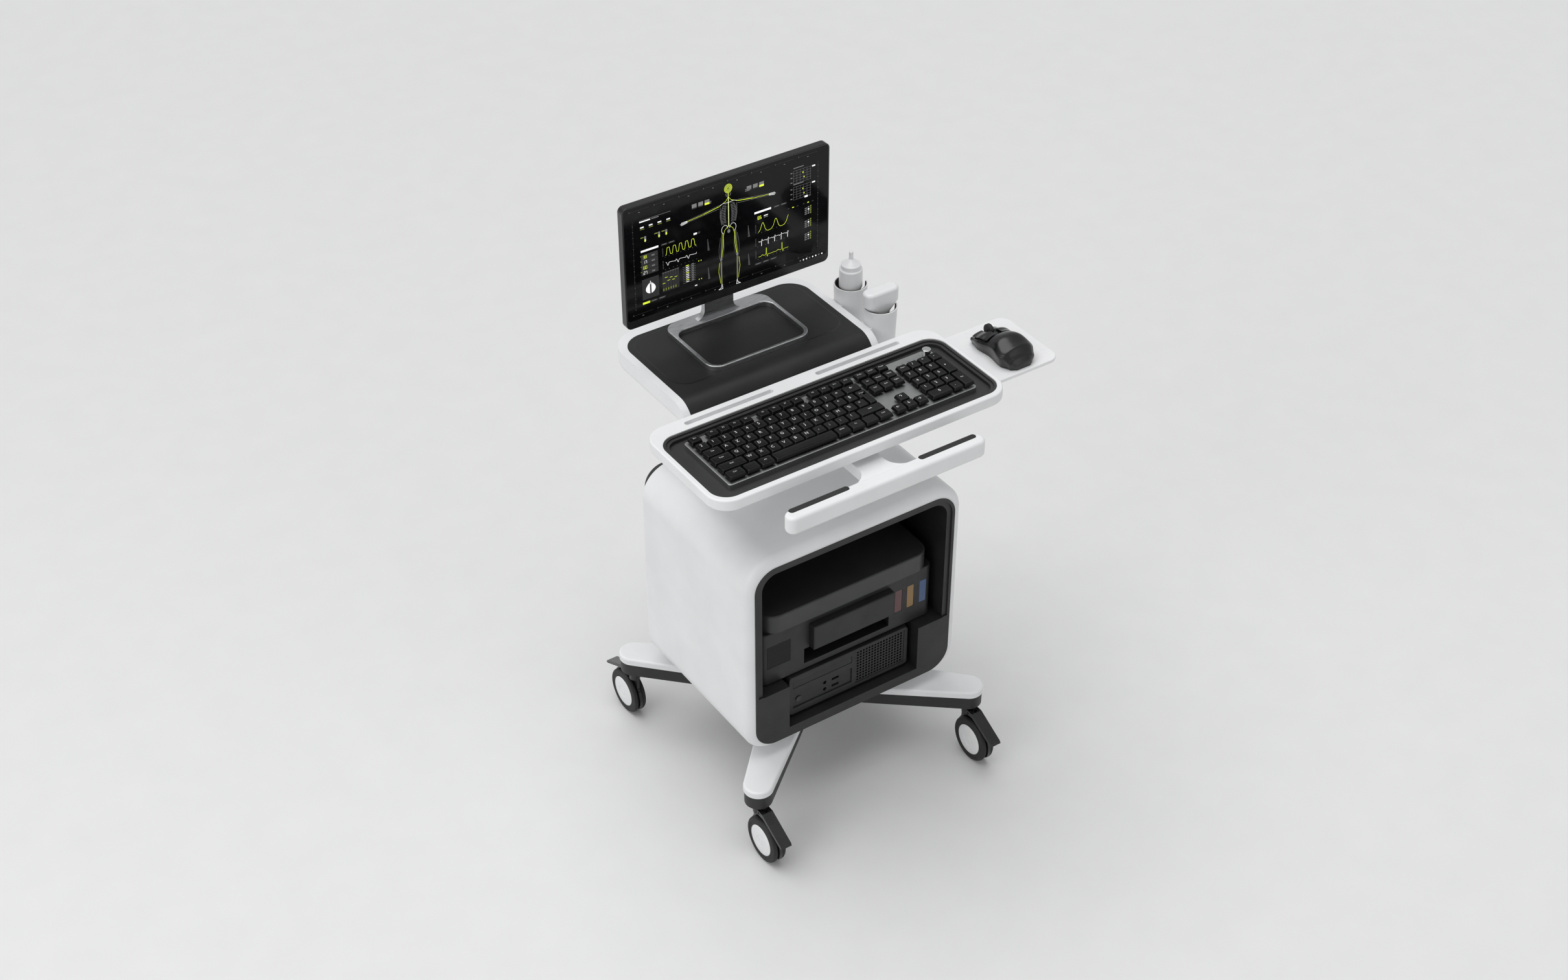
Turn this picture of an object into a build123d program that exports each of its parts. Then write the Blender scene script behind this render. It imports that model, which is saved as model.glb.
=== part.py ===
from build123d import *
import os
from math import atan2, cos, degrees, hypot, radians, sin

# Mobile ultrasound workstation, in millimetres.
# +X is the user's right, -Y is the front, +Z is up; the origin is on the floor under the hub.

os.makedirs("parts", exist_ok=True)

# ---- driving dimensions -------------------------------------------------------------------------
wheel_r = 38.0
stem_x, stem_y = 197.5, 180.5
caster_trail = 21.5
beam_low, beam_high, cover_high = 99.0, 123.5, 134.8
hub_half_x, hub_front, hub_back, hub_high = 60.0, -55.0, 138.0, 155.0

cab_half, cab_low, cab_high = 192.3, 155.0, 514.0
cab_front, cab_back = -146.0, 140.0
cab_r_high, cab_r_low = 50.0, 44.0
open_half, open_low, open_high, open_r = 178.3, 163.0, 498.5, 37.0
cavity_half, cavity_high = 165.0, 486.0
sill_high, block_half, block_high = 180.6, 118.6, 262.0
lining_front, lining_back = -147.0, 64.0

column_y = 105.0
column_half_x, column_half_y, column_wall = 38.0, 28.0, 3.0
column_gap = 0.5
column_high = 526.0

tray_half, tray_front, tray_back = 251.0, -172.5, 32.0
tray_low, tray_high = 652.5, 670.0
deck_half, deck_front, deck_back = 171.0, 40.0, 264.0
deck_low, deck_high, deck_fall = 635.0, 672.0, 35.0

key_pitch = 19.05
keys_left = -209.2
cap_low, cap_high, cap_gap = 672.8, 678.0, 1.6
plate_high = 669.5

monitor_half, monitor_front, monitor_back = 177.0, 187.0, 201.5
monitor_low, monitor_high = 729.5, 930.0
pivot_y, pivot_z, pivot_r = 222.5, 829.7, 4.0

cup_x, cup_ys, cup_low, cup_rim = 200.0, (159.8, 83.2), 600.0, 695.0
shaft_gap = 0.05

four_ways = [("fl", -1, -1), ("fr", 1, -1), ("bl", -1, 1), ("br", 1, 1)]
leg_reach = hypot(stem_x, stem_y)


def save(part, name):
    """Labels a finished sub-part and writes it to its own file."""
    part.label = name
    export_step(part, f"parts/{name}.step")


def span(low, high):
    """Centre and length of a stretch."""
    return (low + high) / 2, high - low


def block(x_span, y_span, z_span, mode=Mode.ADD):
    """Adds a plain box given by its stretches along the three axes."""
    centres = []
    sizes = []
    for low, high in (x_span, y_span, z_span):
        centre, size = span(low, high)
        centres.append(centre)
        sizes.append(size)
    with Locations(tuple(centres)):
        Box(*sizes, mode=mode)


def panel_profile(half, low, high, r_low, r_high, mode=Mode.ADD):
    """Adds a rectangle about x = 0 that has its own corner radii at its foot and at its top."""
    centre, height = span(low, high)
    with BuildSketch(mode=Mode.PRIVATE) as profile:
        with Locations((0, centre)):
            Rectangle(2 * half, height)
        if r_low:
            fillet(profile.vertices().group_by(Axis.Y)[0], r_low)
        if r_high:
            fillet(profile.vertices().group_by(Axis.Y)[-1], r_high)
    add(profile.sketch_local, mode=mode)


def leg_points(angle, end_half, root_half, root):
    """Corners of one tapered leg in plan, from near the hub to the centre of its round end."""
    c, s = cos(radians(angle)), sin(radians(angle))
    local = [(root, -root_half), (leg_reach, -end_half), (leg_reach, end_half), (root, root_half)]
    return [(u * c - v * s, u * s + v * c) for u, v in local]


def leg_sketch(sx, sy, end_r, root_half, root):
    """Adds one leg's plan to the sketch: the taper, its round end and its round root."""
    angle = degrees(atan2(sy * stem_y, sx * stem_x))
    Polygon(*leg_points(angle, end_r, root_half, root), align=None)
    with Locations((sx * stem_x, sy * stem_y)):
        Circle(end_r)
    with Locations((root * cos(radians(angle)), root * sin(radians(angle)))):
        Circle(root_half)


# ---- base ---------------------------------------------------------------------------------------
with BuildPart() as base_frame:
    with BuildSketch(Plane.XY.offset(beam_low)):
        for _, sx, sy in four_ways:
            leg_sketch(sx, sy, 21.5, 33.0, 60.0)
        RectangleRounded(150, 130, 20)
    extrude(amount=beam_high - beam_low)
    chamfer(base_frame.edges().group_by(Axis.Z)[0], 1.5)
    block((-hub_half_x, hub_half_x), (hub_front, hub_back), (beam_high - 10, hub_high))
    with BuildSketch(Plane.XY.offset(beam_low)):
        with Locations(*[(sx * stem_x, sy * stem_y) for _, sx, sy in four_ways]):
            Circle(5.5 + shaft_gap)
    extrude(amount=20, mode=Mode.SUBTRACT)
save(base_frame.part, "base_frame")

with BuildPart() as leg_covers:
    with BuildSketch(Plane.XY.offset(beam_high)):
        for _, sx, sy in four_ways:
            leg_sketch(sx, sy, 23.0, 35.5, 80.0)
    extrude(amount=cover_high - beam_high)
    fillet(leg_covers.edges().group_by(Axis.Z)[-1], 3.5)
    block((-hub_half_x - 0.3, hub_half_x + 0.3), (hub_front - 0.3, hub_back + 0.3),
          (beam_high - 1, cover_high + 1), Mode.SUBTRACT)
save(leg_covers.part, "leg_covers")

# ---- casters ------------------------------------------------------------------------------------
hood_half, disc_in, disc_out, axle_r = 2.5, 2.9, 10.9, 3.0
cap_r = 26.0
pin_trail, pin_z, pin_r = 14.0, 88.0, 2.0

for tag, sx, sy in four_ways:
    cx = sx * stem_x
    wheel_y = sy * (stem_y + caster_trail)
    pin_y = sy * (stem_y + pin_trail)

    with BuildPart() as caster_fork:
        with BuildSketch(Plane.YZ.offset(cx - hood_half)):
            with Locations((wheel_y, wheel_r)):
                Circle(39.5)
            with BuildSketch(mode=Mode.PRIVATE) as neck:
                Polygon((sy * (stem_y - 10), 98), (pin_y + sy * 4, 98), (pin_y + sy * 4, 70),
                        (sy * (stem_y - 10), 40), align=None)
            add(neck.sketch_local)
            with Locations((wheel_y, 0)):
                Rectangle(100, 2 * wheel_r - 30, mode=Mode.SUBTRACT)
        extrude(amount=2 * hood_half)
        with Locations((cx, wheel_y, wheel_r)):
            Cylinder(9, 2 * hood_half, rotation=(0, 90, 0))
            Cylinder(axle_r, 2 * disc_out - 3, rotation=(0, 90, 0))
        with Locations((cx, pin_y, pin_z)):
            Cylinder(pin_r, 17, rotation=(0, 90, 0))
        with BuildSketch(Plane.XY.offset(79)):
            with Locations((cx, sy * stem_y)):
                Circle(9.0)
        extrude(amount=19.5)
        with BuildSketch(Plane.XY.offset(98)):
            with Locations((cx, sy * stem_y)):
                Circle(5.5)
        extrude(amount=19.5)
    save(caster_fork.part, f"caster_fork_{tag}")

    with BuildPart() as caster_tyre:
        for side in (-1, 1):
            mid = cx + side * (disc_in + disc_out) / 2
            with Locations((mid, wheel_y, wheel_r)):
                Cylinder(wheel_r, disc_out - disc_in, rotation=(0, 90, 0))
        fillet(caster_tyre.edges().filter_by(GeomType.CIRCLE), 2.4)
        for side in (-1, 1):
            with Locations((cx + side * (disc_out - 0.5), wheel_y, wheel_r)):
                Cylinder(cap_r, 3.0, rotation=(0, 90, 0), mode=Mode.SUBTRACT)
        with Locations((cx, wheel_y, wheel_r)):
            Cylinder(axle_r + shaft_gap, 30, rotation=(0, 90, 0), mode=Mode.SUBTRACT)
    save(caster_tyre.part, f"caster_tyre_{tag}")

    with BuildPart() as caster_hub_cap:
        for side in (-1, 1):
            low = cx + side * (disc_out - 2.0)
            with Locations((low + side * 1.8, wheel_y, wheel_r)):
                Cylinder(cap_r, 3.6, rotation=(0, 90, 0))
        outer = caster_hub_cap.edges().filter_by(GeomType.CIRCLE).group_by(Axis.X)
        fillet(outer[0] + outer[-1], 1.5)
        with Locations((cx, wheel_y, wheel_r)):
            Cylinder(axle_r + 0.3, 2 * disc_out - 2.6, rotation=(0, 90, 0), mode=Mode.SUBTRACT)
    save(caster_hub_cap.part, f"caster_hub_cap_{tag}")

    with BuildPart() as caster_pedal:
        with BuildSketch(Plane.YZ.offset(cx - 9.3)):
            with BuildLine():
                Polyline((pin_y - sy * 4, 84), (pin_y - sy * 4, 92), (pin_y + sy * 10, 92),
                         (sy * 254, 65.5), (sy * 256, 61.5), (sy * 252, 61.5),
                         (pin_y + sy * 11, 84.4), close=True)
            make_face()
        extrude(amount=18.6)
        fillet(caster_pedal.edges().filter_by(Axis.Z), 1.2)
        block((cx - hood_half - 0.5, cx + hood_half + 0.5), sorted((pin_y - sy * 6, pin_y + sy * 9)),
              (80, 94), Mode.SUBTRACT)
        with Locations((cx, pin_y, pin_z)):
            Cylinder(pin_r + shaft_gap, 30, rotation=(0, 90, 0), mode=Mode.SUBTRACT)
        with Locations((cx, sy * stem_y, 88)):
            Cylinder(11.0, 24, mode=Mode.SUBTRACT)
    save(caster_pedal.part, f"caster_pedal_{tag}")

# ---- cabinet ------------------------------------------------------------------------------------
with BuildPart() as cabinet_shell:
    with BuildSketch(Plane.XZ.offset(-cab_front)):
        panel_profile(cab_half, cab_low, cab_high, cab_r_low, cab_r_high)
    extrude(amount=-(cab_back - cab_front))
    fillet(cabinet_shell.edges().group_by(Axis.Y)[0], 13.0)
    fillet(cabinet_shell.edges().group_by(Axis.Y)[-1], 4.0)
    with BuildSketch(Plane.XZ.offset(-cab_front)):
        panel_profile(open_half, open_low, open_high, open_r, open_r)
    extrude(amount=-(cab_back - cab_front - 6), mode=Mode.SUBTRACT)
    with BuildSketch(Plane.XZ.offset(-cab_front)):
        panel_profile(open_half - 42, open_low + 42, open_high - 42, 12, 12)
    extrude(amount=-(cab_back - cab_front), mode=Mode.SUBTRACT)
    block((-column_half_x - 0.5, column_half_x + 0.5),
          (column_y - column_half_y - 0.5, column_y + column_half_y + 0.5),
          (cab_low - 1, cab_high + 1), Mode.SUBTRACT)
    with Locations(*[Plane.XZ.offset(-cab_back) * Location((x, z, 0)) for x in (-155, 155) for z in (192, 470)]):
        Cylinder(2.1, 14, mode=Mode.SUBTRACT)
save(cabinet_shell.part, "cabinet_shell")

with BuildPart() as front_lining:
    with BuildSketch(Plane.XZ.offset(-lining_front)):
        panel_profile(open_half, open_low, open_high, open_r, open_r)
        panel_profile(cavity_half, block_high, cavity_high, 0, 26, mode=Mode.SUBTRACT)
        with Locations((0, (sill_high + block_high) / 2)):
            Rectangle(2 * block_half, block_high - sill_high, mode=Mode.SUBTRACT)
    extrude(amount=-(lining_back - lining_front))
    with BuildSketch(Plane.XZ.offset(-lining_front - 2.5)):
        panel_profile(open_half - 5, block_high + 1, open_high - 5, 0, 32)
        panel_profile(cavity_half, block_high, cavity_high, 0, 26, mode=Mode.SUBTRACT)
    extrude(amount=2.5, mode=Mode.SUBTRACT)
    with BuildSketch(Plane.XZ.offset(-lining_front - 20)):
        panel_profile(open_half + 1, open_low - 1, open_high + 1, open_r, open_r)
        panel_profile(cavity_half + 3, sill_high - 3, cavity_high + 3, 24, 29, mode=Mode.SUBTRACT)
    extrude(amount=-(lining_back - lining_front), mode=Mode.SUBTRACT)
    with BuildSketch(Plane.XZ.offset(-lining_back)):
        panel_profile(cavity_half + 3, sill_high - 3, cavity_high + 3, 24, 29)
    extrude(amount=6)
    for side in (-1, 1):
        block(sorted((side * 122.6, side * 161.0)), (lining_front + 5, lining_back - 4), (184, 258),
              Mode.SUBTRACT)
        block(sorted((side * 128, side * 156)), (lining_back - 5, lining_back + 5), (190, 250),
              Mode.SUBTRACT)
save(front_lining.part, "front_lining")

cover_in, cover_depth, cover_wall = 17.0, 26.0, 3.0
cover_back = cab_back + cover_depth
screw_places = [(x, z) for x in (-155, 155) for z in (192, 470)]

with BuildPart() as rear_cover:
    with BuildSketch(Plane.XZ.offset(-cab_back)):
        panel_profile(cab_half - cover_in, cab_low + cover_in, cab_high - cover_in, 30, 34)
    extrude(amount=-cover_depth)
    fillet(rear_cover.edges().group_by(Axis.Y)[-1], 9.0)
    with BuildSketch(Plane.XZ.offset(-cab_back)):
        panel_profile(cab_half - cover_in - cover_wall, cab_low + cover_in + cover_wall,
                      cab_high - cover_in - cover_wall, 27, 31)
    extrude(amount=-(cover_depth - cover_wall), mode=Mode.SUBTRACT)
    with BuildSketch(Plane.XZ.offset(-cab_back)):
        with Locations(*screw_places):
            Circle(7)
    extrude(amount=-(cover_depth - 1))
    with BuildSketch(Plane.XZ.offset(-cab_back)):
        with Locations(*screw_places):
            Circle(2.2)
    extrude(amount=-cover_depth, mode=Mode.SUBTRACT)
    with BuildSketch(Plane.XZ.offset(-(cover_back - 5))):
        with Locations(*screw_places):
            Circle(4.2)
    extrude(amount=-6, mode=Mode.SUBTRACT)
    with BuildSketch(Plane.XZ.offset(-(cover_back - 5))):
        for row in range(9):
            with Locations((0, 420 - 9 * row)):
                SlotOverall(150, 4)
        with Locations((90, 215)):
            Rectangle(48, 27.6)
    extrude(amount=-6, mode=Mode.SUBTRACT)
save(rear_cover.part, "rear_cover")

with BuildPart() as rear_cover_screws:
    with BuildSketch(Plane.XZ.offset(-(cab_back - 4))):
        with Locations(*screw_places):
            Circle(2.0)
    extrude(amount=-(cover_depth - 1))
    with BuildSketch(Plane.XZ.offset(-(cover_back - 5))):
        with Locations(*screw_places):
            Circle(3.8)
            RegularPolygon(1.6, 6, mode=Mode.SUBTRACT)
    extrude(amount=-2.6)
    with BuildSketch(Plane.XZ.offset(-(cover_back - 5))):
        with Locations(*screw_places):
            Circle(2.0)
    extrude(amount=-0.8)
save(rear_cover_screws.part, "rear_cover_screws")

inlet_x, inlet_z = 90.0, 215.0
with BuildPart() as mains_inlet:
    with BuildSketch(Plane.XZ.offset(-cover_back)):
        with Locations((inlet_x, inlet_z)):
            RectangleRounded(58, 34, 3)
    extrude(amount=-1.8)
    with BuildSketch(Plane.XZ.offset(-(cover_back - 20))):
        with Locations((inlet_x, inlet_z)):
            Rectangle(47, 27)
    extrude(amount=-20)
    with BuildSketch(Plane.XZ.offset(-(cover_back + 1.8))):
        with Locations((inlet_x - 9, inlet_z)):
            RectangleRounded(24, 17, 3)
        with Locations((inlet_x + 15, inlet_z)):
            RectangleRounded(11, 17, 1.5)
    extrude(amount=15, mode=Mode.SUBTRACT)
    for pin_dx, pin_dz in ((-7, -2), (0, 3), (7, -2)):
        block((inlet_x - 10 + pin_dx, inlet_x - 8 + pin_dx), (cover_back - 14, cover_back - 1),
              (inlet_z + pin_dz - 2.5, inlet_z + pin_dz + 2.5))
    block((inlet_x + 11, inlet_x + 19), (cover_back - 14, cover_back + 0.5), (inlet_z - 7, inlet_z + 7))
save(mains_inlet.part, "mains_inlet")

with BuildPart() as power_supply:
    block((-110, -55), (70, 132), (166, 236))
    fillet(power_supply.edges().filter_by(Axis.Y), 2)
    for row in range(5):
        block((-112, -53), (80, 122), (178 + 11 * row, 181 + 11 * row), Mode.SUBTRACT)
    block((-106, -59), (74, 128), (166, 232))
save(power_supply.part, "power_supply")

# ---- printer ------------------------------------------------------------------------------------
printer_half, printer_front, printer_back = 156.0, -128.0, 54.0
printer_low, printer_high, lid_high = 265.0, 360.0, 391.5
slot_x, slot_z = (-80.0, 75.4), (275.0, 303.5)
tray_x, tray_z = (-70.0, 76.5), (304.0, 348.0)
lid_hinge_y, lid_hinge_z = 46.0, 366.0
window_z = (294.0, 336.0)
window_xs = [(-146.0, -104.5), (86.0, 99.5), (109.0, 121.5), (132.0, 145.0)]

with BuildPart() as printer_body:
    with BuildSketch(Plane.XY.offset(printer_low)):
        with Locations((0, (printer_front + printer_back) / 2)):
            RectangleRounded(2 * printer_half, printer_back - printer_front, 12)
    extrude(amount=printer_high - printer_low)
    fillet(printer_body.edges().group_by(Axis.Z)[-1], 2.0)
    block(slot_x, (printer_front - 1, -20), slot_z, Mode.SUBTRACT)
    block((tray_x[0] - 0.5, tray_x[1] + 0.5), (printer_front - 1, -10), (slot_z[1] - 1, tray_z[1] + 0.5),
          Mode.SUBTRACT)
    for x_span in window_xs:
        block(x_span, (printer_front - 1, printer_front + 2.5), window_z, Mode.SUBTRACT)
    block((-110, 110), (-100, 25), (printer_high - 3, printer_high + 1), Mode.SUBTRACT)
    for x_span, y_low in (((-150, -86), -118), ((82, 150), -118), ((-80, 76), -2)):
        block(x_span, (y_low, printer_back + 1), (printer_low + 5, printer_high - 6), Mode.SUBTRACT)
    with Locations(*[(x, y, block_high + 1.5) for x in (-138, 138) for y in (-105, 30)]):
        Cylinder(9, 3)
    for side in (-1, 1):
        block(sorted((side * 112, side * 118)), (lid_hinge_y - 5, lid_hinge_y + 5),
              (printer_high - 2, lid_hinge_z + 4))
    with Locations((0, lid_hinge_y, lid_hinge_z)):
        Cylinder(2.0 + shaft_gap, 400, rotation=(0, 90, 0), mode=Mode.SUBTRACT)
save(printer_body.part, "printer_body")

with BuildPart() as printer_windows:
    for x_span in window_xs:
        block(x_span, (printer_front + 0.4, printer_front + 2.5), window_z)
    fillet(printer_windows.edges().filter_by(Axis.Y), 1.5)
    block((-109.7, 109.7), (-99.7, 24.7), (printer_high - 3, printer_high - 0.2))
save(printer_windows.part, "printer_windows")

with BuildPart() as printer_lid:
    with BuildSketch(Plane.XY.offset(printer_high + 0.5)):
        with Locations((0, (printer_front - 4 + printer_back - 2) / 2)):
            RectangleRounded(300, printer_back - printer_front + 2, 28)
    extrude(amount=lid_high - printer_high - 0.5)
    fillet(printer_lid.edges().group_by(Axis.Z)[-1], 3.0)
    for side in (-1, 1):
        block(sorted((side * 111, side * 119)), (lid_hinge_y - 9, printer_back + 4),
              (printer_high, lid_hinge_z + 10), Mode.SUBTRACT)
        with Locations((side * 115, lid_hinge_y, lid_hinge_z)):
            Cylinder(2.0, 12, rotation=(0, 90, 0))
    block((-151, 151), (lid_hinge_y + 0.5, printer_back + 4), (printer_high, lid_high + 1), Mode.SUBTRACT)
save(printer_lid.part, "printer_lid")

with BuildPart() as printer_cassette:
    block(tray_x, (-140, -126.5), tray_z)
    fillet(printer_cassette.edges().group_by(Axis.Y)[0], 2.5)
    block((tray_x[0] + 4, tray_x[1] - 4), (-127, -15), (tray_z[0] + 1, tray_z[0] + 3))
    for side_x in (tray_x[0] + 4, tray_x[1] - 6):
        block((side_x, side_x + 2), (-127, -15), (tray_z[0] + 1, tray_z[0] + 22))
save(printer_cassette.part, "printer_cassette")

# ---- computer -----------------------------------------------------------------------------------
pc_half, pc_low, pc_high = 110.0, 187.0, 264.5
pc_front, pc_face, pc_back = -133.0, -126.0, 54.0
bay_x = (-103.0, 5.0)
disc_z, port_z = (238.5, 250.5), (199.5, 228.0)
vent_x, vent_z = (11.0, 103.0), (194.0, 260.0)
pc_high = min(pc_high, printer_low - 4)

with BuildPart() as pc_case:
    block((-pc_half, pc_half), (pc_face, pc_back), (pc_low, pc_high))
    fillet(pc_case.edges().filter_by(Axis.Y), 4)
    block((-pc_half + 2, pc_half - 2), (pc_face - 1, pc_back - 2), (pc_low + 4, pc_high - 3), Mode.SUBTRACT)
    with Locations(*[(x, y, (sill_high + pc_low) / 2) for x in (-90, 90) for y in (-100, 30)]):
        Cylinder(8, pc_low - sill_high)
save(pc_case.part, "pc_case")

with BuildPart() as pc_front_panel:
    block((-pc_half, pc_half), (pc_front, pc_face), (pc_low, pc_high))
    fillet(pc_front_panel.edges().filter_by(Axis.Y), 6)
    fillet(pc_front_panel.edges().group_by(Axis.Y)[0], 1.5)
    block(bay_x, (pc_front - 1, pc_face + 1), disc_z, Mode.SUBTRACT)
    block(bay_x, (pc_front - 1, pc_front + 2), port_z, Mode.SUBTRACT)
    with Locations(*[Plane.XZ.offset(-pc_front) * Location((-43.7, z, 0)) for z in (208, 221)]):
        Cylinder(3.2, 12, mode=Mode.SUBTRACT)
    for z in (208, 221):
        block((-31, -18), (pc_front - 1, pc_front + 6), (z - 2.2, z + 2.2), Mode.SUBTRACT)
    block(vent_x, (pc_front - 1, pc_front + 1), (vent_z[0], pc_high - 4.5), Mode.SUBTRACT)
    with BuildSketch(Plane.XZ.offset(-pc_front)):
        with Locations(((vent_x[0] + vent_x[1]) / 2, (vent_z[0] + pc_high - 4.5) / 2)):
            with GridLocations(5.4, 5.4, 16, 11):
                Rectangle(3.4, 3.4)
    extrude(amount=-10, mode=Mode.SUBTRACT)
    with Locations(Plane.XZ.offset(-pc_front) * Location((-92, 213.7, 0))):
        Cylinder(5.1, 20, mode=Mode.SUBTRACT)
save(pc_front_panel.part, "pc_front_panel")

with BuildPart() as pc_disc_tray:
    block((bay_x[0] + 0.6, bay_x[1] - 0.6), (pc_front + 0.4, pc_front + 5), (disc_z[0] + 0.6, disc_z[1] - 0.6))
    block((bay_x[0] + 3, bay_x[1] - 3), (pc_front + 4, pc_front + 128), (disc_z[0] + 2, disc_z[0] + 6))
    with Locations((-49, pc_front + 68, disc_z[0] + 6)):
        Cylinder(48, 3, mode=Mode.SUBTRACT)
save(pc_disc_tray.part, "pc_disc_tray")

with BuildPart() as pc_power_button:
    with BuildSketch(Plane.XZ.offset(-(pc_front + 0.6))):
        with Locations((-92, 213.7)):
            Circle(4.8)
    extrude(amount=-7.5)
save(pc_power_button.part, "pc_power_button")

# ---- lift column --------------------------------------------------------------------------------
inner_half_x = column_half_x - column_wall - column_gap
inner_half_y = column_half_y - column_wall - column_gap
spring_r, spring_bore, rod_r = 11.0, 9.0, 4.0
head_high = 655.0

with BuildPart() as column_outer:
    with BuildSketch(Plane.XY.offset(hub_high)):
        with Locations((0, column_y)):
            RectangleRounded(2 * column_half_x, 2 * column_half_y, 10)
            RectangleRounded(2 * (column_half_x - column_wall), 2 * (column_half_y - column_wall), 7,
                             mode=Mode.SUBTRACT)
    extrude(amount=column_high - hub_high)
save(column_outer.part, "column_outer")

with BuildPart() as column_inner:
    with BuildSketch(Plane.XY.offset(182)):
        with Locations((0, column_y)):
            RectangleRounded(2 * inner_half_x, 2 * inner_half_y, 6.5)
            RectangleRounded(2 * inner_half_x - 6, 2 * inner_half_y - 6, 3.5, mode=Mode.SUBTRACT)
    extrude(amount=head_high - 6 - 182)
    with BuildSketch(Plane.XY.offset(head_high - 6)):
        with Locations((0, column_y)):
            RectangleRounded(120, 90, 8)
    extrude(amount=6)
save(column_inner.part, "column_inner")

with BuildPart() as gas_spring_cylinder:
    with BuildSketch(Plane.XY.offset(hub_high)):
        with Locations((0, column_y)):
            Circle(spring_r)
    extrude(amount=285)
    with BuildSketch(Plane.XY.offset(hub_high + 5)):
        with Locations((0, column_y)):
            Circle(spring_bore)
    extrude(amount=270, mode=Mode.SUBTRACT)
    with BuildSketch(Plane.XY.offset(hub_high + 5)):
        with Locations((0, column_y)):
            Circle(rod_r + shaft_gap)
    extrude(amount=285, mode=Mode.SUBTRACT)
save(gas_spring_cylinder.part, "gas_spring_cylinder")

with BuildPart() as gas_spring_rod:
    with BuildSketch(Plane.XY.offset(hub_high + 10)):
        with Locations((0, column_y)):
            Circle(rod_r)
    extrude(amount=head_high - 6 - hub_high - 10)
    with BuildSketch(Plane.XY.offset(hub_high + 10)):
        with Locations((0, column_y)):
            Circle(spring_bore - 0.3)
    extrude(amount=8)
save(gas_spring_rod.part, "gas_spring_rod")

# ---- deck ---------------------------------------------------------------------------------------
rim_side, rim_back, skin = 12.0, 17.0, 3.0


def deck_side_profile(drop):
    """Adds the deck's side view, its top lowered by drop: flat, then a quarter round to the front."""
    top = deck_high - drop
    fall = deck_fall - drop
    with BuildLine() as outline:
        Polyline((deck_back + 1, deck_low), (deck_back + 1, top), (deck_front + deck_fall, top))
        CenterArc((deck_front + deck_fall, top - fall), fall, 90, 90)
        Polyline((deck_front + drop, top - fall), (deck_front + drop, deck_low), (deck_back + 1, deck_low))
    make_face(outline.edges())


def deck_plan(inset_side, inset_back, corner):
    """Adds the deck's plan with its two back corners rounded."""
    half = deck_half - inset_side
    back = deck_back - inset_back
    with BuildSketch(mode=Mode.PRIVATE) as plan:
        with Locations((0, (deck_front - 5 + back) / 2)):
            Rectangle(2 * half, back - deck_front + 5)
        fillet(plan.vertices().group_by(Axis.Y)[-1], corner)
    add(plan.sketch_local)


with BuildPart() as deck_top:
    with BuildSketch(Plane.YZ.offset(-deck_half)):
        deck_side_profile(0)
        with BuildSketch(mode=Mode.PRIVATE) as under:
            deck_side_profile(skin)
        add(under.sketch_local, mode=Mode.SUBTRACT)
    extrude(amount=2 * deck_half)
    with BuildSketch(Plane.XY.offset(tray_low + 1)):
        deck_plan(rim_side, rim_back, 36)
    extrude(amount=deck_high - tray_low, mode=Mode.INTERSECT)
    with BuildSketch(Plane.XY.offset(deck_high - 0.8)):
        with Locations((0, 167)):
            RectangleRounded(298, 146, 30)
            RectangleRounded(295, 143, 28.5, mode=Mode.SUBTRACT)
    extrude(amount=2, mode=Mode.SUBTRACT)
save(deck_top.part, "deck_top")

with BuildPart() as deck_shell:
    with BuildSketch(Plane.YZ.offset(-deck_half)):
        deck_side_profile(0)
    extrude(amount=2 * deck_half)
    with BuildSketch(Plane.XY.offset(deck_low)):
        deck_plan(0, 0, 50)
    extrude(amount=deck_high - deck_low, mode=Mode.INTERSECT)
    fillet(deck_shell.edges().group_by(Axis.Z)[0].filter_by_position(Axis.Y, deck_front + 1, deck_back + 1), 16)
    with BuildSketch(Plane.XY.offset(deck_low)):
        with Locations((0, 136)):
            RectangleRounded(290, 162, 30)
    extrude(amount=head_high - deck_low, mode=Mode.SUBTRACT)
    block((-48, 48), (-130, deck_front + 8), (640, tray_low))
    for side in (-1, 1):
        block(sorted((side * 100, side * 165)), (16, deck_front + 8), (640, tray_low))
    add(deck_top.part, mode=Mode.SUBTRACT)
save(deck_shell.part, "deck_shell")

# ---- tray ---------------------------------------------------------------------------------------
tray_mid, tray_depth = span(tray_front, tray_back)
recess_half, recess_front, recess_back, recess_low = 243.7, -163.85, 3.85, 656.0
recess_mid, recess_depth = span(recess_front, recess_back)
liner_floor = 661.0
rail_x = (60.0, 247.0)
shelf_x, shelf_y, shelf_z = (81.0, 381.0), (-125.0, 11.0), (645.0, 651.0)

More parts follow.
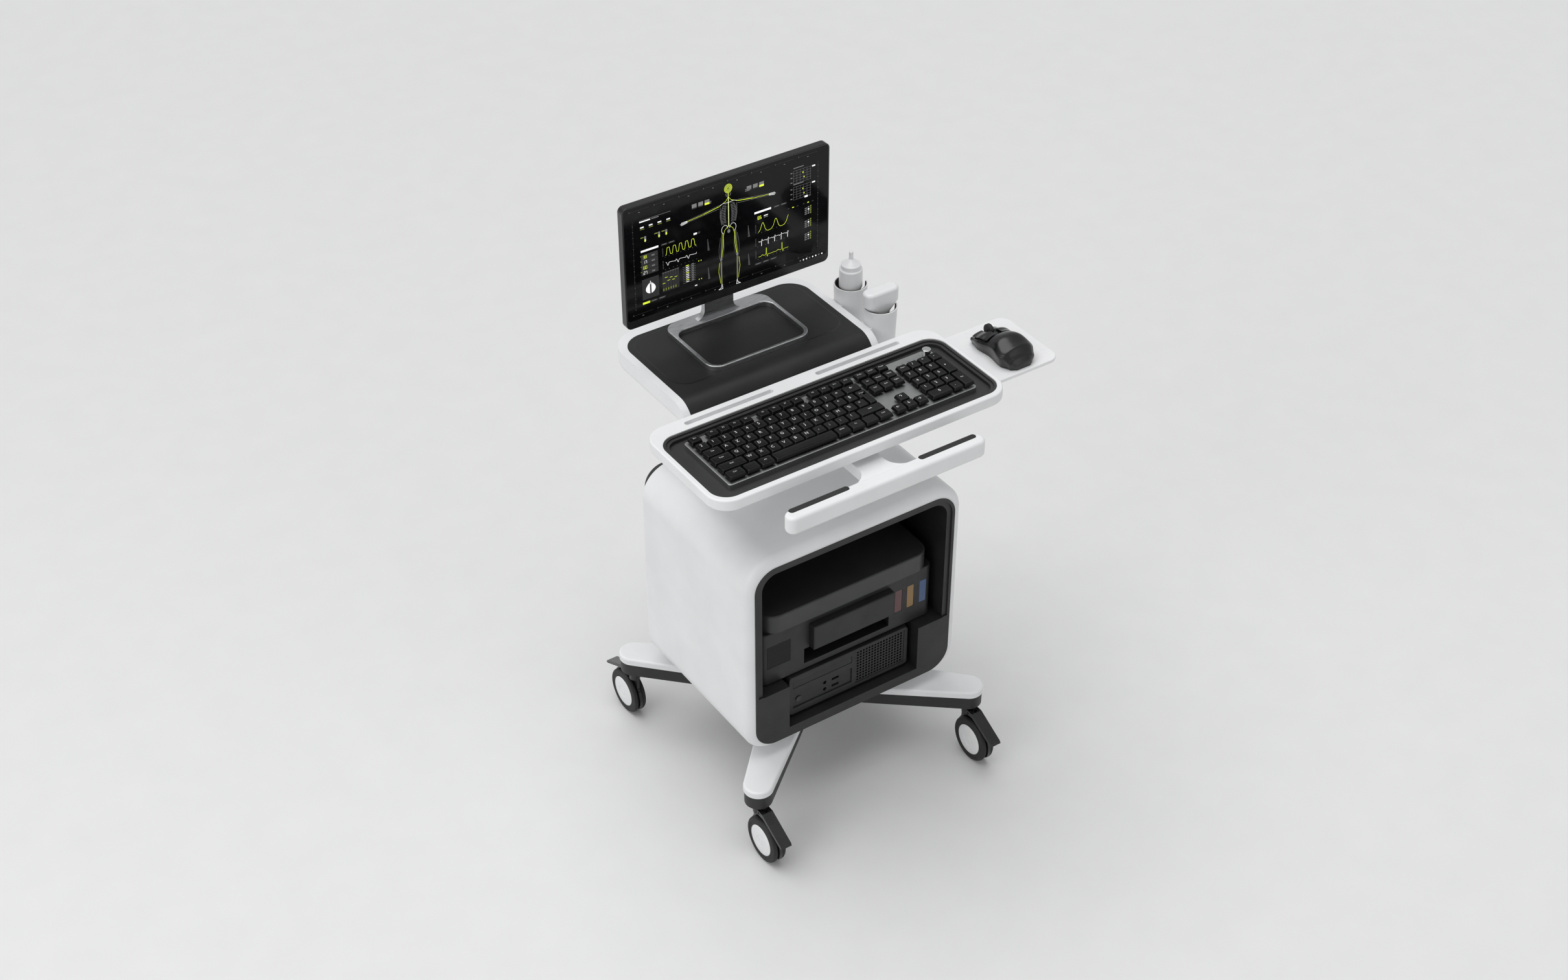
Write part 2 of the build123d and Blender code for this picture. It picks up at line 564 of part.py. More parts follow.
with BuildPart() as tray_shell:
    with BuildSketch(Plane.XY.offset(tray_low)):
        with Locations((0, tray_mid)):
            RectangleRounded(2 * tray_half, tray_depth, 34)
    extrude(amount=tray_high - tray_low)
    fillet(tray_shell.edges().group_by(Axis.Z)[-1], 2.5)
    fillet(tray_shell.edges().group_by(Axis.Z)[0], 2.0)
    with BuildSketch(Plane.XY.offset(recess_low)):
        with Locations((0, recess_mid)):
            RectangleRounded(2 * recess_half, recess_depth, 28)
    extrude(amount=tray_high - recess_low + 1, mode=Mode.SUBTRACT)
    with BuildSketch(Plane.XY.offset(tray_high - 9)):
        with Locations((-112.2, 17), (112.2, 17)):
            SlotOverall(150, 8)
    extrude(amount=10, mode=Mode.SUBTRACT)
    block(rail_x, (shelf_y[0] - 3, shelf_y[0] - 0.5), (643.2, tray_low + 1))
    block(rail_x, (shelf_y[0] - 3, shelf_y[0] + 5), (643.2, 644.6))
    block(rail_x, (shelf_y[1] + 0.5, shelf_y[1] + 3), (643.2, tray_low + 1))
    block(rail_x, (shelf_y[1] - 5, shelf_y[1] + 3), (643.2, 644.6))
save(tray_shell.part, "tray_shell")

with BuildPart() as tray_liner:
    with BuildSketch(Plane.XY.offset(recess_low)):
        with Locations((0, recess_mid)):
            RectangleRounded(2 * recess_half, recess_depth, 28)
    extrude(amount=668.2 - recess_low)
    with BuildSketch(Plane.XY.offset(666.0)):
        with Locations((0, recess_mid)):
            RectangleRounded(2 * recess_half - 8, recess_depth - 8, 24)
    extrude(amount=4, mode=Mode.SUBTRACT)
    with BuildSketch(Plane.XY.offset(liner_floor)):
        with Locations((0, recess_mid)):
            RectangleRounded(2 * recess_half - 18, recess_depth - 18, 19)
    extrude(amount=8, mode=Mode.SUBTRACT)
save(tray_liner.part, "tray_liner")

# ---- push handle --------------------------------------------------------------------------------
bar_half, bar_front, bar_back, bar_low, bar_high = 169.0, -223.5, -200.4, 613.8, 643.5
neck_half, neck_fillet = 22.0, 28.0
grip_x, grip_r = (60.0, 160.0), 5.5

with BuildPart() as handle_grips:
    for side in (-1, 1):
        with BuildSketch(Plane.XY.offset(bar_high - 9)):
            with Locations((side * (grip_x[0] + grip_x[1]) / 2, bar_back - 4.5)):
                SlotOverall(grip_x[1] - grip_x[0], 10)
        extrude(amount=9.6)
    fillet(handle_grips.edges().group_by(Axis.Z)[-1], 1.2)
save(handle_grips.part, "handle_grips")

with BuildPart() as handle_bar:
    with BuildSketch(Plane.XY.offset(bar_low)):
        with Locations((0, (bar_front + bar_back) / 2)):
            RectangleRounded(2 * bar_half, bar_back - bar_front, 11.4)
    extrude(amount=bar_high - bar_low)
    fillet(handle_bar.edges().group_by(Axis.Z)[-1], 5.0)
    fillet(handle_bar.edges().group_by(Axis.Z)[0], 7.0)
    with BuildSketch(Plane.XY.offset(bar_low + 8)):
        with Locations((0, (bar_back - 4 + deck_front - 0.5) / 2)):
            Rectangle(2 * neck_half, deck_front - 0.5 - bar_back + 4)
        for side in (-1, 1):
            web = neck_half + neck_fillet
            with BuildLine():
                Polyline((side * neck_half, bar_back + neck_fillet), (side * neck_half, bar_back - 3),
                         (side * web, bar_back - 3), (side * web, bar_back))
                RadiusArc((side * web, bar_back), (side * neck_half, bar_back + neck_fillet),
                          side * neck_fillet)
            make_face()
    extrude(amount=640 - bar_low - 8)
    add(handle_grips.part, mode=Mode.SUBTRACT)
save(handle_bar.part, "handle_bar")

# ---- probe cups and probes ----------------------------------------------------------------------
cup_r_rim, cup_r_low, cup_wall, lining_wall = 26.0, 22.5, 1.6, 1.4
slot_half, slot_low = 7.0, 648.0


def cup_section(z_low, z_high, shrink):
    """Adds half of a tapered cup's section, its outside moved in by shrink."""
    def radius(z):
        return cup_r_low + (cup_r_rim - cup_r_low) * (z - cup_low) / (cup_rim - cup_low) - shrink

    Polygon((0, z_low), (radius(z_low), z_low), (radius(z_high), z_high), (0, z_high), align=None)


with BuildPart() as probe_cups:
    for y in cup_ys:
        with BuildSketch(Plane.XZ.offset(-y)):
            with Locations((cup_x, 0)):
                cup_section(cup_low, cup_rim, 0)
        revolve(axis=Axis((cup_x, y, 0), (0, 0, 1)))
        block((deck_half, cup_x - cup_r_rim + 6), (y - 12, y + 12), (642, 668))
        with BuildSketch(Plane.XZ.offset(-y)):
            with Locations((cup_x, 0)):
                cup_section(cup_low + 3, cup_rim + 1, cup_wall)
        revolve(axis=Axis((cup_x, y, 0), (0, 0, 1)), mode=Mode.SUBTRACT)
        block((cup_x + 10, cup_x + 30), (y - slot_half, y + slot_half), (slot_low, cup_rim + 1), Mode.SUBTRACT)
save(probe_cups.part, "probe_cups")

with BuildPart() as cup_linings:
    for y in cup_ys:
        with BuildSketch(Plane.XZ.offset(-y)):
            with Locations((cup_x, 0)):
                cup_section(cup_low + 3, cup_rim - 0.6, cup_wall)
        revolve(axis=Axis((cup_x, y, 0), (0, 0, 1)))
        with BuildSketch(Plane.XZ.offset(-y)):
            with Locations((cup_x, 0)):
                cup_section(cup_low + 5, cup_rim + 1, cup_wall + lining_wall)
        revolve(axis=Axis((cup_x, y, 0), (0, 0, 1)), mode=Mode.SUBTRACT)
        block((cup_x + 10, cup_x + 30), (y - slot_half, y + slot_half), (slot_low, cup_rim + 1), Mode.SUBTRACT)
save(cup_linings.part, "cup_linings")

handle_r, handle_foot = 12.0, cup_low + 5.5
body_r, step_r, nib_r = 18.0, 15.5, 3.3


def turned(r_low, r_high, z_low, z_high):
    """Adds a cylinder or a cone on the rear probe's axis."""
    with Locations((cup_x, cup_ys[0], (z_low + z_high) / 2)):
        if r_low == r_high:
            Cylinder(r_low, z_high - z_low)
        else:
            Cone(r_low, r_high, z_high - z_low)


with BuildPart() as probe_rear:
    turned(handle_r, handle_r, handle_foot, 676)
    turned(handle_r, body_r, 676, 691)
    turned(body_r, body_r, 691, 722)
    fillet(probe_rear.edges().group_by(Axis.Z)[-1], 2.4)
    turned(step_r, step_r, 722, 730)
    fillet(probe_rear.edges().group_by(Axis.Z)[-1], 1.8)
    turned(step_r - 1.8, nib_r, 730, 738)
    turned(nib_r, nib_r, 738, 751)
    fillet(probe_rear.edges().group_by(Axis.Z)[-1], 2.0)
save(probe_rear.part, "probe_rear")

with BuildPart() as probe_front:
    with BuildSketch(Plane.XY.offset(702)):
        with Locations((cup_x, cup_ys[1])):
            RectangleRounded(60, 24, 11.5)
    extrude(amount=23)
    fillet(probe_front.edges().group_by(Axis.Z)[-1], 5.0)
    with BuildSketch(Plane.XY.offset(702)):
        with Locations((cup_x, cup_ys[1])):
            RectangleRounded(60, 24, 11.5)
    with BuildSketch(Plane.XY.offset(684)):
        with Locations((cup_x, cup_ys[1])):
            RectangleRounded(26, 23, 11.4)
    loft()
    with BuildSketch(Plane.XY.offset(handle_foot)):
        with Locations((cup_x, cup_ys[1])):
            Circle(handle_r - 0.8)
    extrude(amount=690 - handle_foot)
save(probe_front.part, "probe_front")

# ---- monitor stand and monitor ------------------------------------------------------------------
ring_half, ring_front, ring_back, ring_high = 89.0, 97.6, 237.0, 680.0
ring_hole_half, ring_hole_front, ring_hole_back = 83.0, 102.5, 211.4
post_half, post_front, post_back, post_high = 25.5, 218.0, 227.0, 843.0
ear_x = (26.5, 34.0)

with BuildPart() as monitor_stand:
    ring_mid, ring_depth = span(ring_front, ring_back)
    hole_mid, hole_depth = span(ring_hole_front, ring_hole_back)
    with BuildSketch(Plane.XY.offset(deck_high)):
        with Locations((0, ring_mid)):
            RectangleRounded(2 * ring_half, ring_depth, 22)
        with Locations((0, hole_mid)):
            RectangleRounded(2 * ring_hole_half, hole_depth, 17, mode=Mode.SUBTRACT)
    extrude(amount=ring_high - deck_high)
    fillet(monitor_stand.edges().group_by(Axis.Z)[-1], 1.5)
    with BuildSketch(Plane.XZ.offset(-post_front)):
        with BuildLine():
            Polyline((-post_half, post_high - 16), (-post_half, ring_high + 16))
            RadiusArc((-post_half, ring_high + 16), (-post_half - 16, ring_high - 0.5), 16)
            Line((-post_half - 16, ring_high - 0.5), (post_half + 16, ring_high - 0.5))
            RadiusArc((post_half + 16, ring_high - 0.5), (post_half, ring_high + 16), 16)
            Polyline((post_half, ring_high + 16), (post_half, post_high - 16))
            RadiusArc((post_half, post_high - 16), (post_half - 16, post_high), -16)
            Line((post_half - 16, post_high), (-post_half + 16, post_high))
            RadiusArc((-post_half + 16, post_high), (-post_half, post_high - 16), -16)
        make_face()
    extrude(amount=-(post_back - post_front))
    with Locations((0, pivot_y, pivot_z)):
        Cylinder(pivot_r + shaft_gap, 80, rotation=(0, 90, 0), mode=Mode.SUBTRACT)
save(monitor_stand.part, "monitor_stand")

bezel_back, chin = monitor_front + 4.0, 13.5
screen_half, screen_low, screen_high = monitor_half - 2.6, monitor_low + chin, monitor_high - 2.2
screen_mid, screen_tall = span(screen_low, screen_high)
monitor_mid, monitor_tall = span(monitor_low, monitor_high)

with BuildPart() as monitor_housing:
    with BuildSketch(Plane.XZ.offset(-bezel_back)):
        with Locations((0, monitor_mid)):
            RectangleRounded(2 * monitor_half, monitor_tall, 9)
    extrude(amount=-(monitor_back - bezel_back))
    fillet(monitor_housing.edges().group_by(Axis.Y)[-1], 3.5)
    with BuildSketch(Plane.XZ.offset(-monitor_back)):
        with Locations((0, pivot_z)):
            with GridLocations(75, 75, 2, 2):
                Circle(2.0)
    extrude(amount=8, mode=Mode.SUBTRACT)
    with BuildSketch(Plane.XZ.offset(-monitor_back)):
        for row in range(7):
            with Locations((0, monitor_high - 16 - 5 * row)):
                SlotOverall(120, 2.4)
    extrude(amount=2, mode=Mode.SUBTRACT)
    for side in (-1, 1):
        low_x, high_x = sorted((side * ear_x[0], side * ear_x[1]))
        with BuildSketch(Plane.YZ.offset(low_x)):
            with Locations((pivot_y, pivot_z)):
                Circle(9.5)
            with Locations(((monitor_back - 0.5 + pivot_y) / 2, pivot_z)):
                Rectangle(pivot_y - monitor_back + 0.5, 19)
        extrude(amount=high_x - low_x)
    with Locations((0, pivot_y, pivot_z)):
        Cylinder(pivot_r, 2 * ear_x[1] + 2, rotation=(0, 90, 0))
save(monitor_housing.part, "monitor_housing")

with BuildPart() as monitor_bezel:
    with BuildSketch(Plane.XZ.offset(-monitor_front)):
        with Locations((0, monitor_mid)):
            RectangleRounded(2 * monitor_half, monitor_tall, 9)
    extrude(amount=-(bezel_back - monitor_front))
    fillet(monitor_bezel.edges().group_by(Axis.Y)[0], 0.9)
    with BuildSketch(Plane.XZ.offset(-monitor_front)):
        with Locations((0, screen_mid)):
            RectangleRounded(2 * screen_half, screen_tall, 5)
    extrude(amount=-(bezel_back - monitor_front), mode=Mode.SUBTRACT)
save(monitor_bezel.part, "monitor_bezel")

with BuildPart() as monitor_glass:
    with BuildSketch(Plane.XZ.offset(-monitor_front - 0.3)):
        with Locations((0, screen_mid)):
            RectangleRounded(2 * screen_half, screen_tall, 5)
    extrude(amount=-(bezel_back - monitor_front - 0.3))
save(monitor_glass.part, "monitor_glass")

# ---- keyboard -----------------------------------------------------------------------------------
plate_half, plate_front, plate_back = 213.0, -139.5, -20.0
stem_size, stem_low = 4.0, 665.0
row_ys = [-126.7, -107.6, -88.6, -69.5, -50.5, -30.4]
row_depths = [key_pitch] * 5 + [16.0]
block_left, pad_left = 14.8, 18.1
knob_x, knob_y, knob_r = 199.0, -34.4, 6.6

main_rows = [
    [1.5, 1.25, 1.25, -5.5, 1.25, 1.25, 1.25, 1.25],
    [2.25] + [1] * 10 + [2.25],
    [1.75] + [1] * 12,
    [1.5] + [1] * 12,
    [1] * 13 + [1.5],
    [1, 0, 1, 1, 1, 1, 0, 1, 1, 1, 1, 0, 1, 1, 1, 1],
]
f_row_gap = 0.5


def run_of_keys(widths, start, row):
    """Places of the keys in one row: centre x, centre y, width, depth. A zero is a gap."""
    cells = []
    u = start
    for width in widths:
        if width == 0:
            u += f_row_gap
            continue
        if width > 0:
            x = keys_left + key_pitch * (u + width / 2)
            cells.append((x, row_ys[row], width * key_pitch, row_depths[row]))
        u += abs(width)
    return cells


space_cell = (keys_left + key_pitch * 6.75, row_ys[0], 5.5 * key_pitch, key_pitch)
main_cells = []
for row, widths in enumerate(main_rows):
    main_cells += run_of_keys(widths, 0, row)
enter_low = (keys_left + key_pitch * 14.125, row_ys[2], 0.75 * key_pitch, key_pitch)
enter_high = (keys_left + key_pitch * 14.0, row_ys[3], key_pitch, key_pitch)

pad_cells = run_of_keys([1, 1, 1], block_left, 5)
pad_cells += run_of_keys([1, 1, 1], block_left, 4)
pad_cells += run_of_keys([1, 1, 1], block_left, 3)
pad_cells += run_of_keys([1], block_left + 1, 1)
pad_cells += run_of_keys([1, 1, 1], block_left, 0)
pad_cells += run_of_keys([2, 1], pad_left, 0)
for row in (1, 2, 3):
    pad_cells += run_of_keys([1, 1, 1], pad_left, row)
pad_cells += run_of_keys([1, 1, 1, 1], pad_left, 4)
tall_x = keys_left + key_pitch * (pad_left + 3.5)
for row in (0, 2):
    tall_y = (row_ys[row] + row_ys[row + 1]) / 2
    pad_cells.append((tall_x, tall_y, key_pitch, 2 * key_pitch))


def key_stems(cells):
    """Adds the square stem under every cap."""
    with BuildSketch(Plane.XY.offset(stem_low)) as stems:
        for x, y, _, _ in cells:
            with Locations((x, y)):
                Rectangle(stem_size, stem_size)
    extrude(stems.sketch, amount=cap_low - stem_low + 1)


def key_caps(cells):
    """Adds a tapered cap and its stem for every cell."""
    with BuildSketch(Plane.XY.offset(cap_low)) as caps:
        for x, y, width, depth in cells:
            with Locations((x, y)):
                RectangleRounded(width - cap_gap, depth - cap_gap, 1.2)
    extrude(caps.sketch, amount=cap_high - cap_low, taper=14)
    key_stems(cells)


enter_cell = (enter_low[0], enter_low[1] + key_pitch / 2, enter_low[2], 2 * key_pitch)

with BuildPart() as keys_main:
    key_caps(main_cells)
    with BuildSketch(Plane.XY.offset(cap_low)):
        with Locations(enter_cell[:2]):
            RectangleRounded(enter_cell[2] - cap_gap, enter_cell[3] - cap_gap, 1.2)
        with Locations(enter_high[:2]):
            RectangleRounded(enter_high[2] - cap_gap, key_pitch - cap_gap, 1.2)
    extrude(amount=cap_high - cap_low, taper=14)
    key_stems([enter_cell])
save(keys_main.part, "keys_main")

with BuildPart() as key_space:
    key_caps([space_cell])
save(key_space.part, "key_space")

with BuildPart() as keys_block:
    key_caps(pad_cells)
save(keys_block.part, "keys_block")

with BuildPart() as keyboard_base:
    with BuildSketch(Plane.XY.offset(liner_floor)):
        with Locations((0, (plate_front + plate_back) / 2)):
            RectangleRounded(2 * plate_half, plate_back - plate_front, 5)
    extrude(amount=plate_high - liner_floor)
    fillet(keyboard_base.edges().group_by(Axis.Z)[-1], 1.0)
    with BuildSketch(Plane.XY.offset(stem_low - 3)):
        for x, y, _, _ in main_cells + pad_cells + [space_cell, enter_cell]:
            with Locations((x, y)):
                Rectangle(stem_size + 0.8, stem_size + 0.8)
    extrude(amount=10, mode=Mode.SUBTRACT)
    with BuildSketch(Plane.XY.offset(plate_high - 0.1)):
        with Locations((147.8, -31.2), (158.3, -31.2), (168.8, -31.2)):
            Circle(1.6)
    extrude(amount=0.5)
    with BuildSketch(Plane.XY.offset(plate_high - 0.1)):
        with Locations((knob_x, knob_y)):
            Circle(2.5)
    extrude(amount=5)
save(keyboard_base.part, "keyboard_base")

with BuildPart() as keyboard_knob:
    with BuildSketch(Plane.XY.offset(plate_high + 0.5)):
        with Locations((knob_x, knob_y)):
            Circle(knob_r)
    extrude(amount=12)
    fillet(keyboard_knob.edges().group_by(Axis.Z)[-1], 0.8)
    with BuildSketch(Plane.XY.offset(plate_high + 0.5)):
        with Locations((knob_x, knob_y)):
            Circle(2.5 + shaft_gap)
    extrude(amount=5, mode=Mode.SUBTRACT)
save(keyboard_knob.part, "keyboard_knob")

# ---- mouse shelf and mouse ----------------------------------------------------------------------
with BuildPart() as mouse_plate:
    with BuildSketch(Plane.XY.offset(shelf_z[0])):
        with Locations((span(*shelf_x)[0], span(*shelf_y)[0])):
            RectangleRounded(span(*shelf_x)[1], span(*shelf_y)[1], 18)
    extrude(amount=shelf_z[1] - shelf_z[0])
    fillet(mouse_plate.edges().group_by(Axis.Z)[-1], 1.5)
    fillet(mouse_plate.edges().group_by(Axis.Z)[0], 1.5)
save(mouse_plate.part, "mouse_plate")

mouse_x, mouse_y, mouse_low = 316.0, -68.0, 651.0
mouse_long, mouse_wide, mouse_tall = 102.0, 66.0, 38.0
button_gap, button_drop, button_skin = 0.6, 1.6, 4.5
button_back = mouse_y + 6


def mouse_form(inset):
    """Makes the mouse's outer form, shrunk by inset: an oval plan under a long arched back."""
    half_long, half_wide = mouse_long / 2 - inset, mouse_wide / 2 - inset
    top = mouse_low + mouse_tall - inset
    with BuildPart(mode=Mode.PRIVATE) as form:
        with BuildSketch(Plane.XY.offset(mouse_low)) as plan:
            with Locations((mouse_x, mouse_y)):
                Ellipse(half_wide, half_long * 1.04)
                with Locations((0, 0)):
                    Rectangle(2 * half_wide * 0.86, 2 * half_long * 0.74)
        extrude(plan.sketch, amount=top - mouse_low)
        with BuildSketch(Plane.YZ.offset(mouse_x - half_wide)) as side:
            with BuildLine() as arch:
                front, back = mouse_y + half_long, mouse_y - half_long
                Polyline((back, mouse_low), (front, mouse_low), (front, mouse_low + 11))
                Spline((front, mouse_low + 11), (mouse_y + 10, top - 4), (mouse_y - 14, top),
                       (back, mouse_low + 8), tangents=[(-0.25, 1), (-0.3, -1)])
                Line((back, mouse_low + 8), (back, mouse_low))
            make_face(arch.edges())
        extrude(side.sketch, amount=2 * half_wide, mode=Mode.INTERSECT)
        with BuildSketch(Plane.XZ.offset(-(mouse_y - half_long))) as end:
            with BuildLine() as crown:
                Polyline((mouse_x - half_wide, mouse_low), (mouse_x + half_wide, mouse_low),
                         (mouse_x + half_wide, mouse_low + 16))
                Spline((mouse_x + half_wide, mouse_low + 16), (mouse_x, top), (mouse_x - half_wide, mouse_low + 16),
                       tangents=[(0, 1), (0, -1)])
                Line((mouse_x - half_wide, mouse_low + 16), (mouse_x - half_wide, mouse_low))
            make_face(crown.edges())
        extrude(end.sketch, amount=-2 * half_long, mode=Mode.INTERSECT)
    return form.part


mouse_outer = mouse_form(0)
wheel_y, wheel_z, scroll_r, scroll_half = mouse_y + 34.0, 672.0, 10.0, 3.0

button_low = mouse_low + 13.0
press_x = [(mouse_x - 45, mouse_x - 5), (mouse_x + 5, mouse_x + 45)]
front_y = (button_back, mouse_y + 60)
mouse_core = mouse_form(button_skin + button_drop)
button_lining = mouse_form(button_skin)

with BuildPart() as mouse_body:
    add(mouse_outer)
    for x_span in press_x:
        block(x_span, front_y, (button_low, mouse_low + 60), Mode.SUBTRACT)
    with BuildPart(mode=Mode.PRIVATE) as core:
        add(mouse_core)
        block((mouse_x - 45, mouse_x + 45), (button_back - 2, mouse_y + 60), (button_low - 2, mouse_low + 60),
              Mode.INTERSECT)
    add(core.part)
    block((mouse_x - 3.8, mouse_x + 3.8), (wheel_y - 12, wheel_y + 12), (wheel_z - 12, mouse_low + 60),
          Mode.SUBTRACT)
    with Locations((mouse_x, wheel_y, wheel_z)):
        Cylinder(1.5, 9, rotation=(0, 90, 0))
save(mouse_body.part, "mouse_body")

for button_name, x_span in zip(("mouse_left_button", "mouse_right_button"), press_x):
    outer_low, outer_high = x_span
    if outer_high < mouse_x:
        outer_high -= button_gap
    else:
        outer_low += button_gap
    with BuildPart() as mouse_button:
        add(mouse_outer)
        block((outer_low, outer_high), (button_back + button_gap, mouse_y + 60),
              (button_low + button_drop, mouse_low + 60), Mode.INTERSECT)
        add(button_lining, mode=Mode.SUBTRACT)
    save(mouse_button.part, button_name)

with BuildPart() as mouse_wheel:
    with Locations((mouse_x, wheel_y, wheel_z)):
        Cylinder(scroll_r, 2 * scroll_half, rotation=(0, 90, 0))
    fillet(mouse_wheel.edges().filter_by(GeomType.CIRCLE), 1.0)
    with Locations((mouse_x, wheel_y, wheel_z)):
        Cylinder(1.5 + shaft_gap, 20, rotation=(0, 90, 0), mode=Mode.SUBTRACT)
save(mouse_wheel.part, "mouse_wheel")
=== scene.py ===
import math

import bmesh
import bpy
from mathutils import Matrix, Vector


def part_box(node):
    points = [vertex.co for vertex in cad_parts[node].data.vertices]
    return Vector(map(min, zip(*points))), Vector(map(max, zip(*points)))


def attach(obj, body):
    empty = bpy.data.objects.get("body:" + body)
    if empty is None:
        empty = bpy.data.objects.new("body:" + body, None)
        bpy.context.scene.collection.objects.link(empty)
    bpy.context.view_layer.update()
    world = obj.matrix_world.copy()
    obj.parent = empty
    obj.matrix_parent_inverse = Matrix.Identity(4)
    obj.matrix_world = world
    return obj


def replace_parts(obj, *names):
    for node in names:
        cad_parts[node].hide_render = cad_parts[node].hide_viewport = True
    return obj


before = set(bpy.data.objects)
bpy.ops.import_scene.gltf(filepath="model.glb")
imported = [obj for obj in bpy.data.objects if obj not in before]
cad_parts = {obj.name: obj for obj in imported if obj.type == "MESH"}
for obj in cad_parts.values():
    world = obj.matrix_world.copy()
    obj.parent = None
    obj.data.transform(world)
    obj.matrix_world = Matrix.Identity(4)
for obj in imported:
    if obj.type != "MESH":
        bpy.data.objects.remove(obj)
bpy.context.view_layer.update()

MM = 0.001


# ---- materials ------------------------------------------------------------------------------------
def new_material(name):
    """A node material with its nodes, links and Principled shader."""
    material = bpy.data.materials.new(name)
    material.use_nodes = True
    nodes = material.node_tree.nodes
    shader = nodes["Principled BSDF"]
    return material, nodes, material.node_tree.links, shader


def noise(nodes, links, scale, detail=4.0, stretch=(1, 1, 1)):
    """Noise in the object's own metres, stretched along the axes if asked."""
    coords = nodes.new("ShaderNodeTexCoord")
    mapping = nodes.new("ShaderNodeMapping")
    mapping.inputs["Scale"].default_value = stretch
    texture = nodes.new("ShaderNodeTexNoise")
    texture.inputs["Scale"].default_value = scale
    texture.inputs["Detail"].default_value = detail
    links.new(coords.outputs["Object"], mapping.inputs["Vector"])
    links.new(mapping.outputs["Vector"], texture.inputs["Vector"])
    return texture


def spread(nodes, links, source, low, high):
    """Maps a 0..1 noise to a range of numbers."""
    mapper = nodes.new("ShaderNodeMapRange")
    mapper.inputs["From Min"].default_value = 0.3
    mapper.inputs["From Max"].default_value = 0.7
    mapper.inputs["To Min"].default_value = low
    mapper.inputs["To Max"].default_value = high
    links.new(source, mapper.inputs["Value"])
    return mapper.outputs["Result"]


def tint(nodes, links, source, dark, light):
    """Mixes two colours by a noise."""
    ramp = nodes.new("ShaderNodeValToRGB")
    ramp.color_ramp.elements[0].position = 0.3
    ramp.color_ramp.elements[1].position = 0.7
    ramp.color_ramp.elements[0].color = (*dark, 1)
    ramp.color_ramp.elements[1].color = (*light, 1)
    links.new(source, ramp.inputs["Fac"])
    return ramp.outputs["Color"]


def bump(nodes, links, shader, height, strength, distance):
    """Puts a height on the shader's normal."""
    node = nodes.new("ShaderNodeBump")
    node.inputs["Strength"].default_value = strength
    node.inputs["Distance"].default_value = distance
    links.new(height, node.inputs["Height"])
    links.new(node.outputs["Normal"], shader.inputs["Normal"])


def moulded(name, dark, light, rough, grain=2200.0, relief=0.25, coat=0.0, metallic=0.0, specular=0.5):
    """Moulded or coated surface: slow colour drift, fine spark-eroded grain, uneven roughness."""
    material, nodes, links, shader = new_material(name)
    slow = noise(nodes, links, 14.0, 3.0)
    fine = noise(nodes, links, grain, 2.0)
    links.new(tint(nodes, links, slow.outputs["Fac"], dark, light), shader.inputs["Base Color"])
    smudge = noise(nodes, links, 38.0, 5.0)
    wear = spread(nodes, links, smudge.outputs["Fac"], rough - 0.05, rough + 0.06)
    links.new(wear, shader.inputs["Roughness"])
    bump(nodes, links, shader, fine.outputs["Fac"], relief, 0.00012)
    shader.inputs["Metallic"].default_value = metallic
    shader.inputs["Coat Weight"].default_value = coat
    shader.inputs["Coat Roughness"].default_value = 0.15
    shader.inputs["Specular IOR Level"].default_value = specular
    return material


def brushed(name, dark, light, rough, stretch):
    """Brushed metal: long fine streaks in colour, roughness and height."""
    material, nodes, links, shader = new_material(name)
    streaks = noise(nodes, links, 900.0, 3.0, stretch)
    links.new(tint(nodes, links, streaks.outputs["Fac"], dark, light), shader.inputs["Base Color"])
    wear = spread(nodes, links, streaks.outputs["Fac"], rough - 0.08, rough + 0.1)
    links.new(wear, shader.inputs["Roughness"])
    bump(nodes, links, shader, streaks.outputs["Fac"], 0.15, 0.00005)
    shader.inputs["Metallic"].default_value = 1.0
    return material


def glowing(name, colour, strength):
    """A lit part of the display, a little uneven as a real backlight is."""
    material, nodes, links, shader = new_material(name)
    slow = noise(nodes, links, 30.0, 2.0)
    dim = tuple(c * 0.86 for c in colour)
    output = tint(nodes, links, slow.outputs["Fac"], dim, colour)
    links.new(output, shader.inputs["Emission Color"])
    links.new(output, shader.inputs["Base Color"])
    shader.inputs["Emission Strength"].default_value = strength
    shader.inputs["Roughness"].default_value = 0.4
    return material


WHITE = moulded("white_plastic", (0.76, 0.765, 0.77), (0.81, 0.815, 0.82), 0.42, 1500.0, 0.3)
WHITE_SMOOTH = moulded("white_smooth_plastic", (0.78, 0.785, 0.79), (0.83, 0.83, 0.835), 0.3, 2600.0,
                       0.1, 0.1)
CHARCOAL = moulded("charcoal_plastic", (0.020, 0.020, 0.021), (0.027, 0.027, 0.028), 0.5, 1500.0, 0.4)
DECK_BLACK = moulded("deck_black_plastic", (0.014, 0.014, 0.015), (0.020, 0.020, 0.021), 0.42, 1300.0,
                     0.5, 0.0, 0.0, 0.3)
LID_BLACK = moulded("lid_plastic", (0.030, 0.030, 0.031), (0.040, 0.040, 0.041), 0.4, 1700.0, 0.35)
CAVITY = moulded("cavity_plastic", (0.012, 0.012, 0.0125), (0.017, 0.017, 0.0175), 0.5, 1700.0, 0.4)
FRAME_BLACK = moulded("powder_coat", (0.012, 0.012, 0.013), (0.018, 0.018, 0.019), 0.48, 900.0, 0.6)
GLOSS_BLACK = moulded("satin_black_plastic", (0.008, 0.008, 0.009), (0.013, 0.013, 0.014), 0.28, 2400.0,
                      0.12, 0.15)
MOUSE_BLACK = moulded("mouse_shell_plastic", (0.006, 0.006, 0.007), (0.011, 0.011, 0.012), 0.26, 2600.0,
                      0.15, 0.1)
KEY_BLACK = moulded("key_cap_plastic", (0.004, 0.004, 0.0045), (0.008, 0.008, 0.0085), 0.34, 3200.0,
                    0.25, 0.0, 0.0, 0.28)
